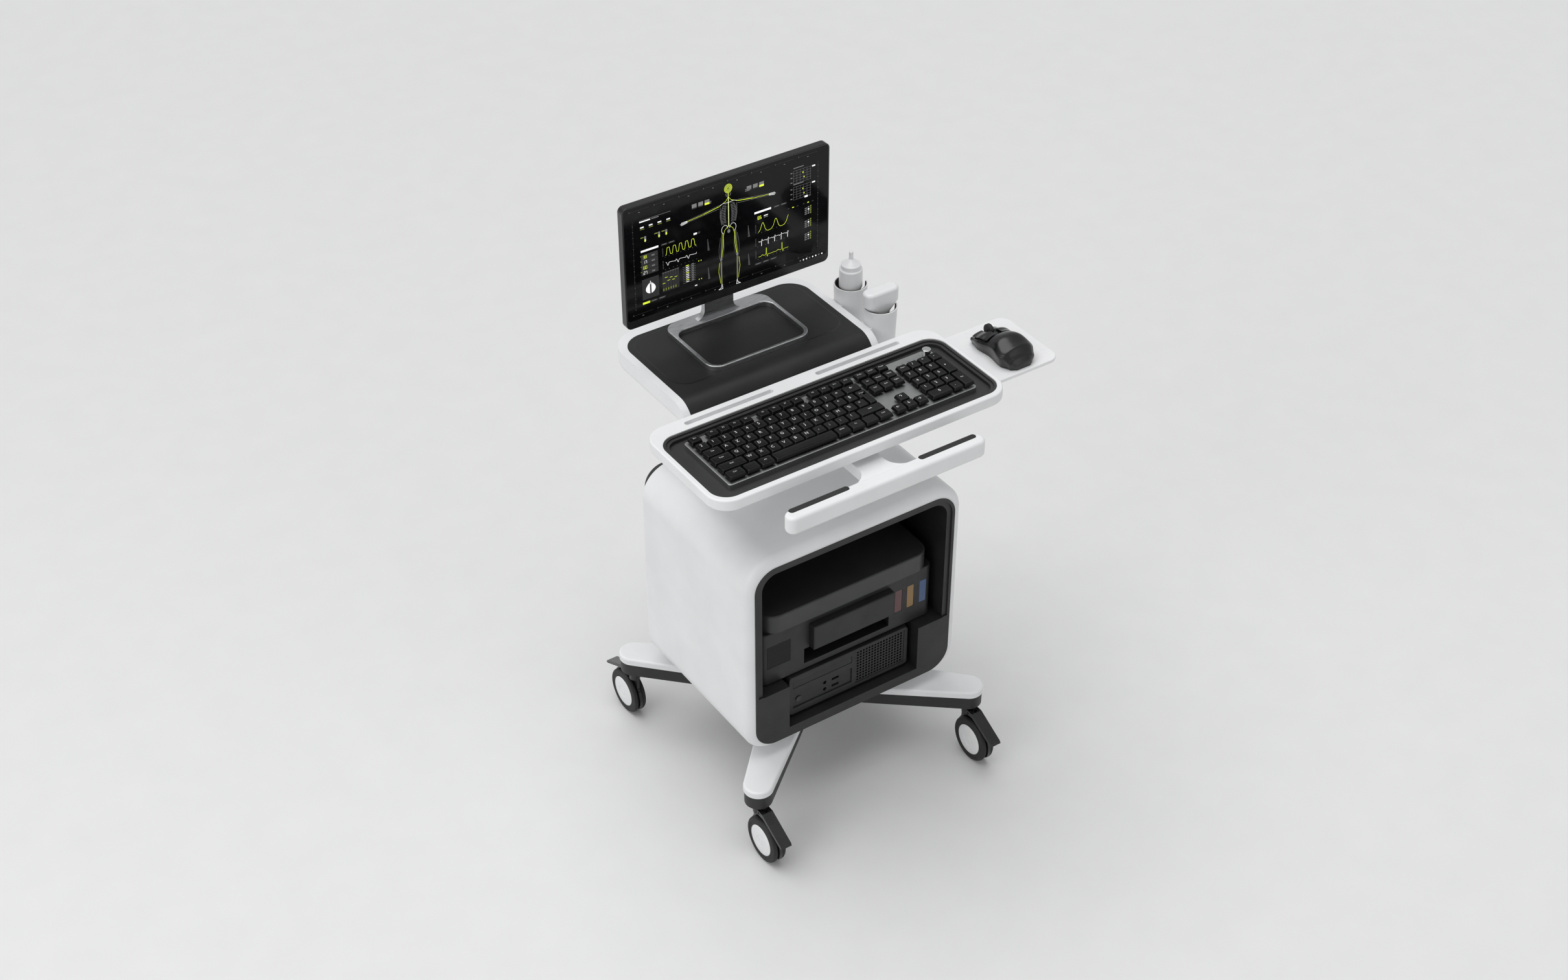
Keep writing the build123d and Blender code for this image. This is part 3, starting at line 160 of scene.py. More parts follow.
RUBBER = moulded("soft_rubber", (0.009, 0.009, 0.009), (0.016, 0.016, 0.016), 0.62, 1100.0, 0.6)
STEEL = brushed("plated_steel", (0.42, 0.42, 0.43), (0.55, 0.55, 0.56), 0.32, (1, 1, 14))
ALUMINIUM = brushed("brushed_aluminium", (0.40, 0.405, 0.41), (0.56, 0.565, 0.57), 0.34, (0.06, 1.4, 1.4))
PLATE = moulded("blasted_aluminium", (0.36, 0.365, 0.365), (0.42, 0.425, 0.425), 0.4, 2600.0, 0.4, 0.0,
                1.0)
CHROME = brushed("turned_metal", (0.72, 0.72, 0.72), (0.86, 0.86, 0.86), 0.18, (1, 1, 20))
LEGEND = moulded("legend_white", (0.62, 0.62, 0.62), (0.7, 0.7, 0.7), 0.5, 3000.0, 0.1)
HOLE_BLACK = moulded("deep_black", (0.003, 0.003, 0.003), (0.005, 0.005, 0.005), 0.35, 2500.0, 0.1)
INK_RED = moulded("ink_red", (0.075, 0.016, 0.018), (0.10, 0.022, 0.024), 0.3, 2500.0, 0.1, 0.4)
INK_AMBER = moulded("ink_amber", (0.20, 0.105, 0.02), (0.26, 0.14, 0.026), 0.3, 2500.0, 0.1, 0.4)
INK_BLUE = moulded("ink_blue", (0.016, 0.058, 0.16), (0.022, 0.075, 0.2), 0.3, 2500.0, 0.1, 0.4)
UI_WHITE = glowing("ui_white", (0.8, 0.8, 0.8), 0.8)
UI_GREY = glowing("ui_grey", (0.22, 0.22, 0.22), 0.35)
UI_FAINT = glowing("ui_faint", (0.035, 0.035, 0.036), 0.15)
UI_LIME = glowing("ui_lime", (0.6, 0.72, 0.04), 0.9)
UI_LIME_DIM = glowing("ui_lime_dim", (0.20, 0.24, 0.03), 0.45)


def screen_glass():
    """Polished cover glass over a dark panel with the faintest mottling."""
    material, nodes, links, shader = new_material("screen_glass")
    slow = noise(nodes, links, 9.0, 3.0)
    links.new(tint(nodes, links, slow.outputs["Fac"], (0.0025, 0.0025, 0.003), (0.006, 0.006, 0.007)),
              shader.inputs["Base Color"])
    smear = noise(nodes, links, 55.0, 5.0)
    links.new(spread(nodes, links, smear.outputs["Fac"], 0.05, 0.11), shader.inputs["Roughness"])
    shader.inputs["Specular IOR Level"].default_value = 0.22
    return material


GLASS = screen_glass()

NODE_MATERIALS = {
    "base_frame": FRAME_BLACK, "leg_covers": WHITE, "cabinet_shell": WHITE, "front_lining": CAVITY,
    "rear_cover": CHARCOAL, "rear_cover_screws": STEEL, "printer_body": CAVITY,
    "printer_windows": HOLE_BLACK,
    "pc_case": CAVITY, "pc_front_panel": CAVITY, "power_supply": STEEL, "mains_inlet": GLOSS_BLACK,
    "column_outer": ALUMINIUM, "gas_spring_cylinder": STEEL, "printer_lid": LID_BLACK,
    "printer_cassette": CAVITY,
    "pc_disc_tray": HOLE_BLACK, "pc_power_button": GLOSS_BLACK, "column_inner": ALUMINIUM,
    "gas_spring_rod": CHROME, "deck_shell": WHITE, "deck_top": DECK_BLACK, "tray_shell": WHITE,
    "tray_liner": CHARCOAL, "handle_bar": WHITE, "handle_grips": RUBBER, "probe_cups": WHITE,
    "cup_linings": CHARCOAL, "monitor_stand": ALUMINIUM, "monitor_housing": GLOSS_BLACK,
    "monitor_bezel": GLOSS_BLACK, "monitor_glass": GLASS, "keyboard_base": PLATE, "keyboard_knob": CHROME,
    "keys_main": KEY_BLACK, "key_space": KEY_BLACK, "keys_block": KEY_BLACK,
    "mouse_plate": WHITE_SMOOTH, "mouse_body": MOUSE_BLACK, "mouse_left_button": MOUSE_BLACK,
    "mouse_right_button": MOUSE_BLACK, "mouse_wheel": RUBBER, "probe_rear": WHITE_SMOOTH,
    "probe_front": WHITE_SMOOTH,
}
for corner in ("fl", "fr", "bl", "br"):
    NODE_MATERIALS[f"caster_fork_{corner}"] = GLOSS_BLACK
    NODE_MATERIALS[f"caster_pedal_{corner}"] = GLOSS_BLACK
    NODE_MATERIALS[f"caster_tyre_{corner}"] = RUBBER
    NODE_MATERIALS[f"caster_hub_cap_{corner}"] = WHITE_SMOOTH

for node_name, material in NODE_MATERIALS.items():
    for material_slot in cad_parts[node_name].material_slots:
        material_slot.material = material


# ---- mesh helpers -----------------------------------------------------------------------------------
def mesh_piece(name, verts, faces, material, body):
    """Makes a mesh from points in millimetres and lets it ride on a body."""
    mesh = bpy.data.meshes.new(name)
    mesh.from_pydata([(x * MM, y * MM, z * MM) for x, y, z in verts], [], faces)
    mesh.materials.append(material)
    mesh.update()
    piece = bpy.data.objects.new(name, mesh)
    bpy.context.scene.collection.objects.link(piece)
    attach(piece, body)
    return piece


def rounded_loop(cx, cy, width, depth, radius, steps=4):
    """Points round a rectangle with round corners, anticlockwise."""
    points = []
    corners = [(1, 1, 0), (-1, 1, 90), (-1, -1, 180), (1, -1, 270)]
    for sx, sy, start in corners:
        for step in range(steps + 1):
            angle = math.radians(start + 90 * step / steps)
            points.append((cx + sx * (width / 2 - radius) + radius * math.cos(angle),
                           cy + sy * (depth / 2 - radius) + radius * math.sin(angle)))
    return points


class Builder:
    """Collects points and faces of many small solids that share one piece."""

    def __init__(self):
        self.verts = []
        self.faces = []

    def stack(self, loops):
        """Skins a list of loops of 3-D points and closes both ends."""
        first = len(self.verts)
        count = len(loops[0])
        for loop in loops:
            self.verts += loop
        for level in range(len(loops) - 1):
            for i in range(count):
                a = first + level * count + i
                b = first + level * count + (i + 1) % count
                self.faces.append((a, b, b + count, a + count))
        self.faces.append(tuple(first + i for i in reversed(range(count))))
        last = first + (len(loops) - 1) * count
        self.faces.append(tuple(last + i for i in range(count)))

    def piece(self, name, material, body, slot_name):
        """Turns what was collected into one piece."""
        return mesh_piece(name, self.verts, self.faces, material, body)


# ---- keyboard ---------------------------------------------------------------------------------------
PITCH, KEYS_LEFT = 19.05, -209.2
CAP_LOW, CAP_HIGH = 672.8, 678.0
ROW_Y = [-126.7, -107.6, -88.6, -69.5, -50.5, -30.4]
ROW_DEPTH = [PITCH] * 5 + [16.0]
BLOCK_LEFT, PAD_LEFT, F_GAP = 14.8, 18.1, 0.5

MAIN_ROWS = [
    [("Ctrl", 1.5), ("", 1.25), ("Alt", 1.25), (None, 5.5), ("AltGr", 1.25), ("Fn", 1.25), ("", 1.25),
     ("Ctrl", 1.25)],
    [("Shift", 2.25)] + [(c, 1) for c in "WXCVBN,;:!"] + [("Shift", 2.25)],
    [("Caps", 1.75)] + [(c, 1) for c in "QSDFGHJKLM%*"],
    [("Tab", 1.5)] + [(c, 1) for c in "AZERTYUIOP^$"],
    [("2", 1)] + [(c, 1) for c in "1234567890)="] + [("←", 1.5)],
    [("Esc", 1), (None, 0), ("F1", 1), ("F2", 1), ("F3", 1), ("F4", 1), (None, 0), ("F5", 1), ("F6", 1),
     ("F7", 1), ("F8", 1), (None, 0), ("F9", 1), ("F10", 1), ("F11", 1), ("F12", 1)],
]
PAD_ROWS = [
    (BLOCK_LEFT, 5, ["PrtSc", "ScrLk", "Pause"]), (BLOCK_LEFT, 4, ["Ins", "Home", "PgUp"]),
    (BLOCK_LEFT, 3, ["Del", "End", "PgDn"]), (BLOCK_LEFT + 1, 1, ["↑"]),
    (BLOCK_LEFT, 0, ["←", "↓", "→"]), (PAD_LEFT, 1, ["1", "2", "3"]),
    (PAD_LEFT, 2, ["4", "5", "6"]), (PAD_LEFT, 3, ["7", "8", "9"]), (PAD_LEFT, 4, ["Num", "/", "*", "-"]),
]


def row_cells(keys, start, row):
    """Centre, size and legend of each key in a row; a legend of None is a gap."""
    cells = []
    u = start
    for legend, width in keys:
        if legend is not None:
            cells.append((KEYS_LEFT + PITCH * (u + width / 2), ROW_Y[row], width * PITCH, ROW_DEPTH[row],
                          legend))
        u += width if width else F_GAP
    return cells


def key_cap(builder, x, y, width, depth):
    """A sculpted cap: straight skirt, sloped sides, soft top edge and a shallow dish."""
    levels = [(CAP_LOW, 0.8, 1.0), (CAP_LOW + 1.0, 0.85, 1.1), (CAP_HIGH - 0.9, 1.75, 1.6),
              (CAP_HIGH - 0.25, 2.1, 1.7), (CAP_HIGH, 2.6, 1.6)]
    loops = []
    for z, inset, radius in levels:
        ring = rounded_loop(x, y, width - 2 * inset, depth - 2 * inset, radius)
        loops.append([(px, py, z) for px, py in ring])
    for shrink, drop in ((4.2, 0.25), (5.6, 0.38)):
        ring = rounded_loop(x, y, width - 2 * shrink, depth - 2 * shrink, 1.2)
        loops.append([(px, py, CAP_HIGH - drop) for px, py in ring])
    builder.stack(loops)


def legends(name, cells, body):
    """Raised printed legends on the caps, made from text outlines and joined into one mesh."""
    verts, faces = [], []
    for x, y, width, _, text in cells:
        if not text:
            continue
        single = len(text) == 1
        curve = bpy.data.curves.new("legend_text", "FONT")
        curve.body = text
        curve.size = 7.2 if single else 3.6
        curve.align_x = "CENTER"
        curve.align_y = "CENTER"
        curve.resolution_u = 2
        holder = bpy.data.objects.new("legend_text", curve)
        mesh = bpy.data.meshes.new_from_object(holder)
        first = len(verts)
        shift = -0.2 * (width - 12) if single and width < 20 else 0.0
        verts += [(x + shift + v.co.x, y + 1.6 + v.co.y, CAP_HIGH - 0.16) for v in mesh.vertices]
        faces += [tuple(first + i for i in polygon.vertices) for polygon in mesh.polygons]
        bpy.data.objects.remove(holder)
        bpy.data.curves.remove(curve)
        bpy.data.meshes.remove(mesh)
    return mesh_piece(name, verts, faces, LEGEND, body)


main_cells = []
for row, keys in enumerate(MAIN_ROWS):
    main_cells += row_cells(keys, 0, row)
pad_cells = []
for start, row, names in PAD_ROWS:
    pad_cells += row_cells([(n, 1) for n in names], start, row)
pad_cells += row_cells([("0", 2), (".", 1)], PAD_LEFT, 0)
tall_x = KEYS_LEFT + PITCH * (PAD_LEFT + 3.5)
pad_cells.append((tall_x, (ROW_Y[0] + ROW_Y[1]) / 2, PITCH, 2 * PITCH, "Ent"))
pad_cells.append((tall_x, (ROW_Y[2] + ROW_Y[3]) / 2, PITCH, 2 * PITCH, "+"))
enter_x = KEYS_LEFT + PITCH * 14.125
STEM_SIDE, STEM_LOW = 4.0, 666.0
space = (KEYS_LEFT + PITCH * 6.75, ROW_Y[0], 5.5 * PITCH, PITCH, "")
enter_cells = [(enter_x, ROW_Y[2] + PITCH / 2, 0.75 * PITCH, 2 * PITCH, ""),
               (enter_x - PITCH / 8, ROW_Y[3], PITCH, PITCH, "Enter")]

for piece_name, node_name, body, cells in (
        ("caps_main", "keys_main", "keys_main", main_cells + enter_cells),
        ("caps_block", "keys_block", "keys_block", pad_cells),
        ("cap_space", "key_space", "space_key", [space])):
    caps = Builder()
    for x, y, width, depth, _ in cells:
        key_cap(caps, x, y, width, depth)
        stem = rounded_loop(x, y, STEM_SIDE, STEM_SIDE, 0.5, 1)
        caps.stack([[(px, py, z) for px, py in stem] for z in (STEM_LOW, CAP_LOW + 0.1)])
    piece = caps.piece(piece_name, KEY_BLACK, body, "key_black")
    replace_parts(piece, node_name)
    if any(cell[4] for cell in cells):
        legends("legends_" + piece_name, cells, body)

# ---- display ----------------------------------------------------------------------------------------
SCREEN_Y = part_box("monitor_glass")[0][1] / MM - 0.05


class Ink:
    """Flat marks just in front of the glass, gathered by material, later materials in front."""

    def __init__(self):
        self.marks = {}

    def quad(self, material, corners):
        verts, faces = self.marks.setdefault(material, ([], []))
        first = len(verts)
        level = SCREEN_Y - 0.01 * list(self.marks).index(material)
        verts += [(x, level, z) for x, z in corners]
        faces.append(tuple(range(first, first + len(corners))))

    def rect(self, material, x, z, width, height):
        self.quad(material, [(x, z), (x + width, z), (x + width, z + height), (x, z + height)])

    def line(self, material, points, width=0.5):
        for (x0, z0), (x1, z1) in zip(points, points[1:]):
            length = math.hypot(x1 - x0, z1 - z0)
            if length == 0:
                continue
            nx, nz = -(z1 - z0) / length * width / 2, (x1 - x0) / length * width / 2
            self.quad(material, [(x0 - nx, z0 - nz), (x1 - nx, z1 - nz),
                                 (x1 + nx, z1 + nz), (x0 + nx, z0 + nz)])

    def oval(self, material, x, z, rx, rz, steps=28):
        turns = [2 * math.pi * i / steps for i in range(steps)]
        self.quad(material, [(x + rx * math.cos(turn), z + rz * math.sin(turn)) for turn in turns])

    def number(self, material, x, z, text, height=4.0, width=0.45):
        """Seven-stroke digits."""
        strokes = {"0": "abcdef", "1": "bc", "2": "abged", "3": "abgcd", "4": "fgbc", "5": "afgcd",
                   "6": "afgedc", "7": "abc", "8": "abcdefg", "9": "abfgcd"}
        w = height * 0.5
        ends = {"a": ((0, 2), (1, 2)), "b": ((1, 2), (1, 1)), "c": ((1, 1), (1, 0)), "d": ((0, 0), (1, 0)),
                "e": ((0, 0), (0, 1)), "f": ((0, 1), (0, 2)), "g": ((0, 1), (1, 1))}
        for place, digit in enumerate(text):
            left = x + place * (w + 1.0)
            for stroke in strokes[digit]:
                (ax, az), (bx, bz) = ends[stroke]
                self.line(material, [(left + ax * w, z + az * height / 2),
                                     (left + bx * w, z + bz * height / 2)], width)

    def flush(self):
        """Makes one piece for each material."""
        for count, (material, (verts, faces)) in enumerate(self.marks.items()):
            mesh_piece(f"display_marks_{count}", verts, faces, material, "monitor")


def wave(x, z, length, height, cycles, form, steps=90):
    """Points of a repeating trace."""
    points = []
    for i in range(steps + 1):
        phase = (i / steps * cycles) % 1.0
        points.append((x + length * i / steps, z + height * form(phase)))
    return points


def square_wave(t):
    return max(0.0, min(1.0, 6 * (t - 0.12))) if t < 0.5 else max(0.0, min(1.0, 6 * (0.8 - t)))


def breath_wave(t):
    return 1 - 0.9 * math.exp(-((t - 0.2) / 0.08) ** 2) - 0.4 * t


def pulse_wave(t):
    return math.exp(-((t - 0.35) / 0.16) ** 2) + 0.12 * math.sin(6 * t)


def heart_wave(t):
    return math.exp(-((t - 0.5) / 0.02) ** 2) - 0.3 * math.exp(-((t - 0.56) / 0.025) ** 2) \
        + 0.16 * math.exp(-((t - 0.25) / 0.06) ** 2)


ink = Ink()
for material in (UI_FAINT, UI_GREY, UI_LIME_DIM, UI_LIME, UI_WHITE):
    ink.marks[material] = ([], [])


def bone(x0, z0, x1, z1, r0, r1):
    """A long bone as a pair of outlines with a line down its middle."""
    ink.line(UI_GREY, [(x0 - r0, z0), (x1 - r1, z1)], 0.35)
    ink.line(UI_GREY, [(x0 + r0, z0), (x1 + r1, z1)], 0.35)
    ink.line(UI_LIME, [(x0, z0), (x1, z1)], 0.35)


def draw_figure():
    """A standing anatomical figure with its arms out, built from ovals, ribs and bones."""
    ink.oval(UI_LIME_DIM, 0, 909.0, 6.4, 7.0)
    for shrink in (1.0, 0.72, 0.4):
        contour = [(6.4 * shrink * math.cos(a * math.pi / 12),
                    909 + 7.0 * shrink * math.sin(a * math.pi / 12)) for a in range(25)]
        ink.line(UI_LIME, contour, 0.6)
    ink.oval(UI_FAINT, 0, 899.6, 4.4, 3.6)
    ink.line(UI_GREY, [(-4.6, 901), (-3.6, 897), (0, 895.4), (3.6, 897), (4.6, 901)], 0.4)
    ink.line(UI_LIME, [(0, 902), (0, 846)], 0.8)
    for i in range(24):
        ink.rect(UI_WHITE, -0.9, 893 - 2.0 * i, 1.8, 0.5)
    for side in (-1, 1):
        for i in range(12):
            reach = 8.0 + 6.5 * math.sin(math.pi * (i + 1.5) / 15)
            top = 883 - 2.6 * i
            rib = [(side * reach * math.sin(math.pi * t / 12) ** 0.8, top - 4.5 * (t / 12) ** 1.5 + 1.2)
                   for t in range(1, 12)]
            ink.line(UI_GREY, rib, 0.4)
        ink.line(UI_WHITE, [(0, 886), (side * 9, 887), (side * 15, 885)], 0.5)
        arm = [(0, 895), (side * 5, 889), (side * 16, 884), (side * 40, 880), (side * 72, 877)]
        ink.line(UI_LIME, arm, 0.5)
        bone(side * 16, 884, side * 42, 880.5, 0.0, 0.0)
        ink.line(UI_GREY, [(side * 16, 886), (side * 42, 882), (side * 70, 878.5)], 0.4)
        ink.line(UI_GREY, [(side * 16, 880.5), (side * 42, 878), (side * 70, 875.5)], 0.4)
        for finger in range(5):
            tip = (side * (82 - abs(finger - 2)), 877.8 - 1.1 * finger)
            ink.line(UI_WHITE, [(side * 70, 878.2 - 0.7 * finger), tip], 0.45)
        ink.line(UI_GREY, [(side * 14, 882), (side * 14.5, 866), (side * 12, 852)], 0.4)
        hip = [(side * (7 + 5.5 * math.cos(a * math.pi / 10)), 843 + 7 * math.sin(a * math.pi / 10))
               for a in range(-4, 11)]
        ink.line(UI_WHITE, hip, 0.5)
        thigh = [(0, 848), (side * 7, 842), (side * 9.5, 834), (side * 10, 815), (side * 13, 798)]
        ink.line(UI_LIME, thigh, 0.5)
        bone(side * 10.5, 838, side * 14, 797, 1.6, 1.2)
        ink.oval(UI_GREY, side * 14, 795, 2.1, 2.6)
        bone(side * 14.2, 792, side * 13.6, 752, 1.5, 0.9)
        ink.line(UI_LIME, [(side * 17, 790), (side * 18.5, 775), (side * 15.5, 755)], 0.4)
        ink.line(UI_GREY, [(side * 9.5, 832), (side * 8.5, 812), (side * 11, 797)], 0.3)
        ink.line(UI_GREY, [(side * 14.5, 832), (side * 17.5, 812), (side * 17, 797)], 0.3)
        ink.line(UI_WHITE, [(side * 13.6, 752), (side * 14.5, 747), (side * 19, 744.6), (side * 12, 744.6),
                            (side * 12.8, 752)], 0.6)
    ink.oval(UI_GREY, 0, 838.5, 2.4, 3.0)


def draw_heading(x, z, width):
    """The row of pills over a group of charts."""
    ink.rect(UI_WHITE, x, z, width * 0.31, 3.2)
    for i in range(2):
        ink.rect(UI_FAINT, x + width * (0.36 + 0.13 * i), z, width * 0.11, 3.0)
        ink.rect(UI_GREY, x + width * (0.38 + 0.13 * i), z + 1.1, width * 0.07, 0.8)
    ink.rect(UI_WHITE, x + width * 0.94, z, width * 0.06, 3.0)
    ink.rect(UI_FAINT, x + width * 1.01, z, width * 0.05, 3.0)


def draw_axis(x, z, length, height):
    """Ticks beside and under a trace."""
    for i in range(7):
        ink.rect(UI_GREY, x - 4.2, z + height * i / 6, 1.6, 0.4)
    for i in range(9):
        ink.rect(UI_GREY, x + length * i / 8, z - 3.0, 0.5, 1.0)


def draw_left():
    """The readings, traces, table and lungs left of the figure."""
    for i in range(4):
        left = -148 + 14.5 * i
        ink.rect(UI_WHITE, left, 891, 6.0, 2.0)
        ink.rect(UI_LIME_DIM, left, 888.4, 6.8, 1.0)
    for left in (-146, -123, -111):
        ink.rect(UI_GREY, left + 4, 868, 3.2, 8.4)
        ink.oval(UI_LIME, left + 5.6, 869.6, 1.2, 2.4, 12)
        ink.rect(UI_LIME_DIM, left - 2, 874.5, 5.0, 1.6)
    draw_heading(-148.5, 851.5, 94)
    readings = (("38", UI_LIME), ("17", UI_WHITE), ("60", UI_LIME), ("27", UI_WHITE))
    for i, (text, material) in enumerate(readings):
        z = 840.5 - 8.7 * i
        ink.rect(UI_FAINT, -148.5, z - 1.5, 28, 8.2)
        ink.number(material, -145, z, text, 4.6)
        ink.rect(UI_GREY, -131, z + 0.6, 5.0, 2.0)
        ink.rect(UI_LIME_DIM, -149.4, z + 4.4, 1.2, 1.2)
    ink.line(UI_LIME, wave(-108, 834, 52, 12, 5, square_wave), 0.55)
    draw_axis(-109, 834, 53, 12)
    ink.line(UI_WHITE, wave(-108, 816, 52, 6, 3, breath_wave), 0.5)
    draw_axis(-109, 813, 53, 12)
    ink.rect(UI_FAINT, -148.5, 772, 28, 34)
    for side in (-1, 1):
        lobe = [(-134.5 + side * (1.4 + 8.2 * math.sin(math.pi * t / 14) ** 0.7 * (1 - 0.35 * t / 14)),
                 780 + 17.5 * t / 14) for t in range(15)]
        ink.quad(UI_WHITE, [(-134.5 + side * 1.2, 780), *lobe, (-134.5 + side * 1.2, 797.5)][::side])
    ink.rect(UI_WHITE, -135.1, 795, 1.2, 5.5)
    for i in range(7):
        ink.rect(UI_FAINT, -114.5 + 4.1 * i, 774, 3.6, 33)
        ink.rect(UI_GREY, -114.5 + 4.1 * i, 805.6, 3.6, 0.6)
    for i, z in enumerate((788, 797, 791, 795, 790, 793)):
        ink.rect(UI_LIME, -114.5 + 4.1 * i, z, 4.6, 0.6)
        ink.rect(UI_LIME_DIM, -113.7 + 4.1 * i, 776, 1.8, 3.6)
    for row in range(10):
        ink.rect(UI_GREY, -80, 803.5 - 3.0 * row, 22, 0.35)
        ink.rect(UI_WHITE if row % 4 else UI_LIME, -74.5, 804.4 - 3.0 * row, 5.0, 1.1)
        ink.rect(UI_GREY, -65, 804.4 - 3.0 * row, 4.0, 1.1)
    for x in (-53, -49):
        for z in (774, 805):
            ink.rect(UI_LIME, x, z, 1.1, 1.6)
    ink.rect(UI_LIME, -148.5, 764.6, 12, 3.4)
    for i in range(2):
        ink.rect(UI_FAINT, -135.5 + 13.5 * i, 764.6, 12, 3.4)
        ink.rect(UI_GREY, -133.5 + 13.5 * i, 765.8, 8, 1.0)
    ink.rect(UI_WHITE, -60, 765.6, 4.0, 1.6)


def draw_right():
    """The traces, maps and columns of figures right of the figure."""
    draw_heading(44.5, 851.5, 94)
    ink.number(UI_LIME, 50.5, 841, "65", 4.8, 0.7)
    ink.rect(UI_WHITE, 61, 843.6, 7, 1.4)
    ink.rect(UI_GREY, 61, 841, 7, 1.2)
    ink.line(UI_LIME, wave(51, 819, 53, 13, 2.3, pulse_wave), 0.55)
    draw_axis(50, 820, 53, 12)
    ink.line(UI_WHITE, wave(51, 803, 53, -9, 4.6, heart_wave, 260), 0.45)
    draw_axis(50, 797, 53, 12)
    ink.line(UI_LIME, wave(51, 777, 53, 12, 1.9, heart_wave, 260), 0.45)
    draw_axis(50, 776, 53, 12)
    for top in (880, 853):
        for i in range(6):
            ink.rect(UI_GREY, 113, top + 4.2 * i, 31, 0.25)
            ink.rect(UI_GREY, 113 + 6 * i, top, 0.25, 21)
        ink.rect(UI_GREY, 113, top + 25, 18, 1.2)
        ink.rect(UI_WHITE, 146, top + 19, 5.5, 2.2)
        for i in range(3):
            ink.rect(UI_GREY, 108, top + 2 + 8 * i, 3.2, 1.4)
        ink.rect(UI_LIME, 129, top + 14, 1.8, 1.8)
        ink.rect(UI_LIME, 131, top + 6, 1.8, 1.8)
    for column in (103, 130):
        for i in range(3):
            ink.rect(UI_LIME if i == 1 else UI_FAINT, column + 8 * i, 840.8, 3.0, 1.4)
    for top in (822, 800, 778):
        for i in range(4):
            ink.rect(UI_GREY, 133.5, top + 3.2 * i, 4.0, 1.6)
            ink.rect(UI_WHITE if i == 2 else UI_GREY, 139, top + 3.4 * i, 2.6, 2.2)
            ink.rect(UI_LIME_DIM, 143, top + 3.6 * i, 2.2, 2.4)
    for i in range(3):
        ink.rect(UI_FAINT, 44.5 + 13.5 * i, 764.6, 12, 3.2)
        ink.rect(UI_GREY, 46.5 + 13.5 * i, 765.7, 8, 1.0)


def draw_surround():
    """Chips beside the head, level bars, frame lines and the row of status dots."""
    for mirror in (-1, 1):
        for i in range(3):
            left = mirror * (57.5 - 10.8 * i) - 4.2
            lit = (i == 2) == (mirror < 0) and i in (0, 2)
            ink.rect(UI_GREY, left, 896, 8.0, 6.0)
            ink.rect(UI_LIME if lit else UI_FAINT, left, 894.2, 8.0, 3.2)
        for i in range(2):
            ink.rect(UI_GREY, mirror * 33 - 4, 897 - 2.6 * i, 8, 1.0)
        for low in (818, 770):
            for i in range(9):
                ink.rect(UI_GREY, mirror * 35 - 2, low + 2.2 * i, 3.4 - 0.3 * i, 0.8)
    for z in (921.5, 751.0):
        for i in range(8):
            ink.rect(UI_FAINT, -165 + 41 * i, z, 33, 0.4)
            ink.rect(UI_GREY, -165 + 41 * i, z - 0.6, 0.6, 1.6)
            ink.rect(UI_GREY, -150 + 41 * i, z - 4, 2.6, 0.8)
    for x in (-160.5, 156.5):
        for i in range(16):
            ink.rect(UI_FAINT, x, 762 + 9.2 * i, 0.4, 6.4)
            ink.rect(UI_GREY, x - 0.6, 760 + 9.2 * i, 1.6, 0.4)
    for i in range(8):
        ink.oval(UI_WHITE if i % 3 else UI_GREY, 126 + 5.6 * i, 745.2, 1.3, 1.3, 10)
    ink.line(UI_GREY, [(-149, 903.5), (-97, 903.5)], 0.5)
    ink.rect(UI_WHITE, -149, 900.4, 18, 1.8)
    ink.rect(UI_GREY, -129, 900.6, 12, 1.4)


draw_figure()
draw_left()
draw_right()
draw_surround()
ink.flush()


# ---- turned and formed pieces -------------------------------------------------------------------------
def lathe(builder, profile, place, steps):
    """Turns (radius, height) pairs about an axis; place maps (x, y, height) to millimetres."""
    loops = []
    for radius, height in profile:
        turns = [2 * math.pi * i / steps for i in range(steps)]
        loops.append([place(radius * math.cos(turn), radius * math.sin(turn), height) for turn in turns])
    builder.stack(loops)


def soft(piece, angle=35):
    """Smooth shading with the real edges kept."""
    for polygon in piece.data.polygons:
        polygon.use_smooth = True
    bm = bmesh.new()
    bm.from_mesh(piece.data)
    bmesh.ops.recalc_face_normals(bm, faces=bm.faces)
    for edge in bm.edges:
        edge.smooth = len(edge.link_faces) == 2 and edge.calc_face_angle() < math.radians(angle)
    bm.to_mesh(piece.data)
    bm.free()
    return piece


CASTER_X, CASTER_Y, WHEEL_R = 197.5, 202.0, 38.0
TYRE = [(26.4, 2.9), (34.5, 2.9), (36.6, 3.4), (37.7, 4.6), (38.0, 6.2), (37.6, 8.6), (36.4, 10.2),
        (34.2, 10.9), (31.2, 10.9), (30.8, 10.4), (27.0, 10.4), (26.4, 10.6)]
HUB = [(4.0, 2.9), (26.2, 2.9), (26.2, 9.8), (25.5, 10.8), (23.0, 11.6), (18.0, 12.2), (11.0, 12.5),
       (9.6, 12.5), (9.2, 12.1), (6.0, 12.1), (5.6, 12.5), (2.0, 12.5)]


def on_axle(sx, sy, face):
    """Places a turned point on one side of a wheel's axle."""
    return lambda a, b, along: (sx * CASTER_X + face * along, sy * CASTER_Y + a, WHEEL_R + b)


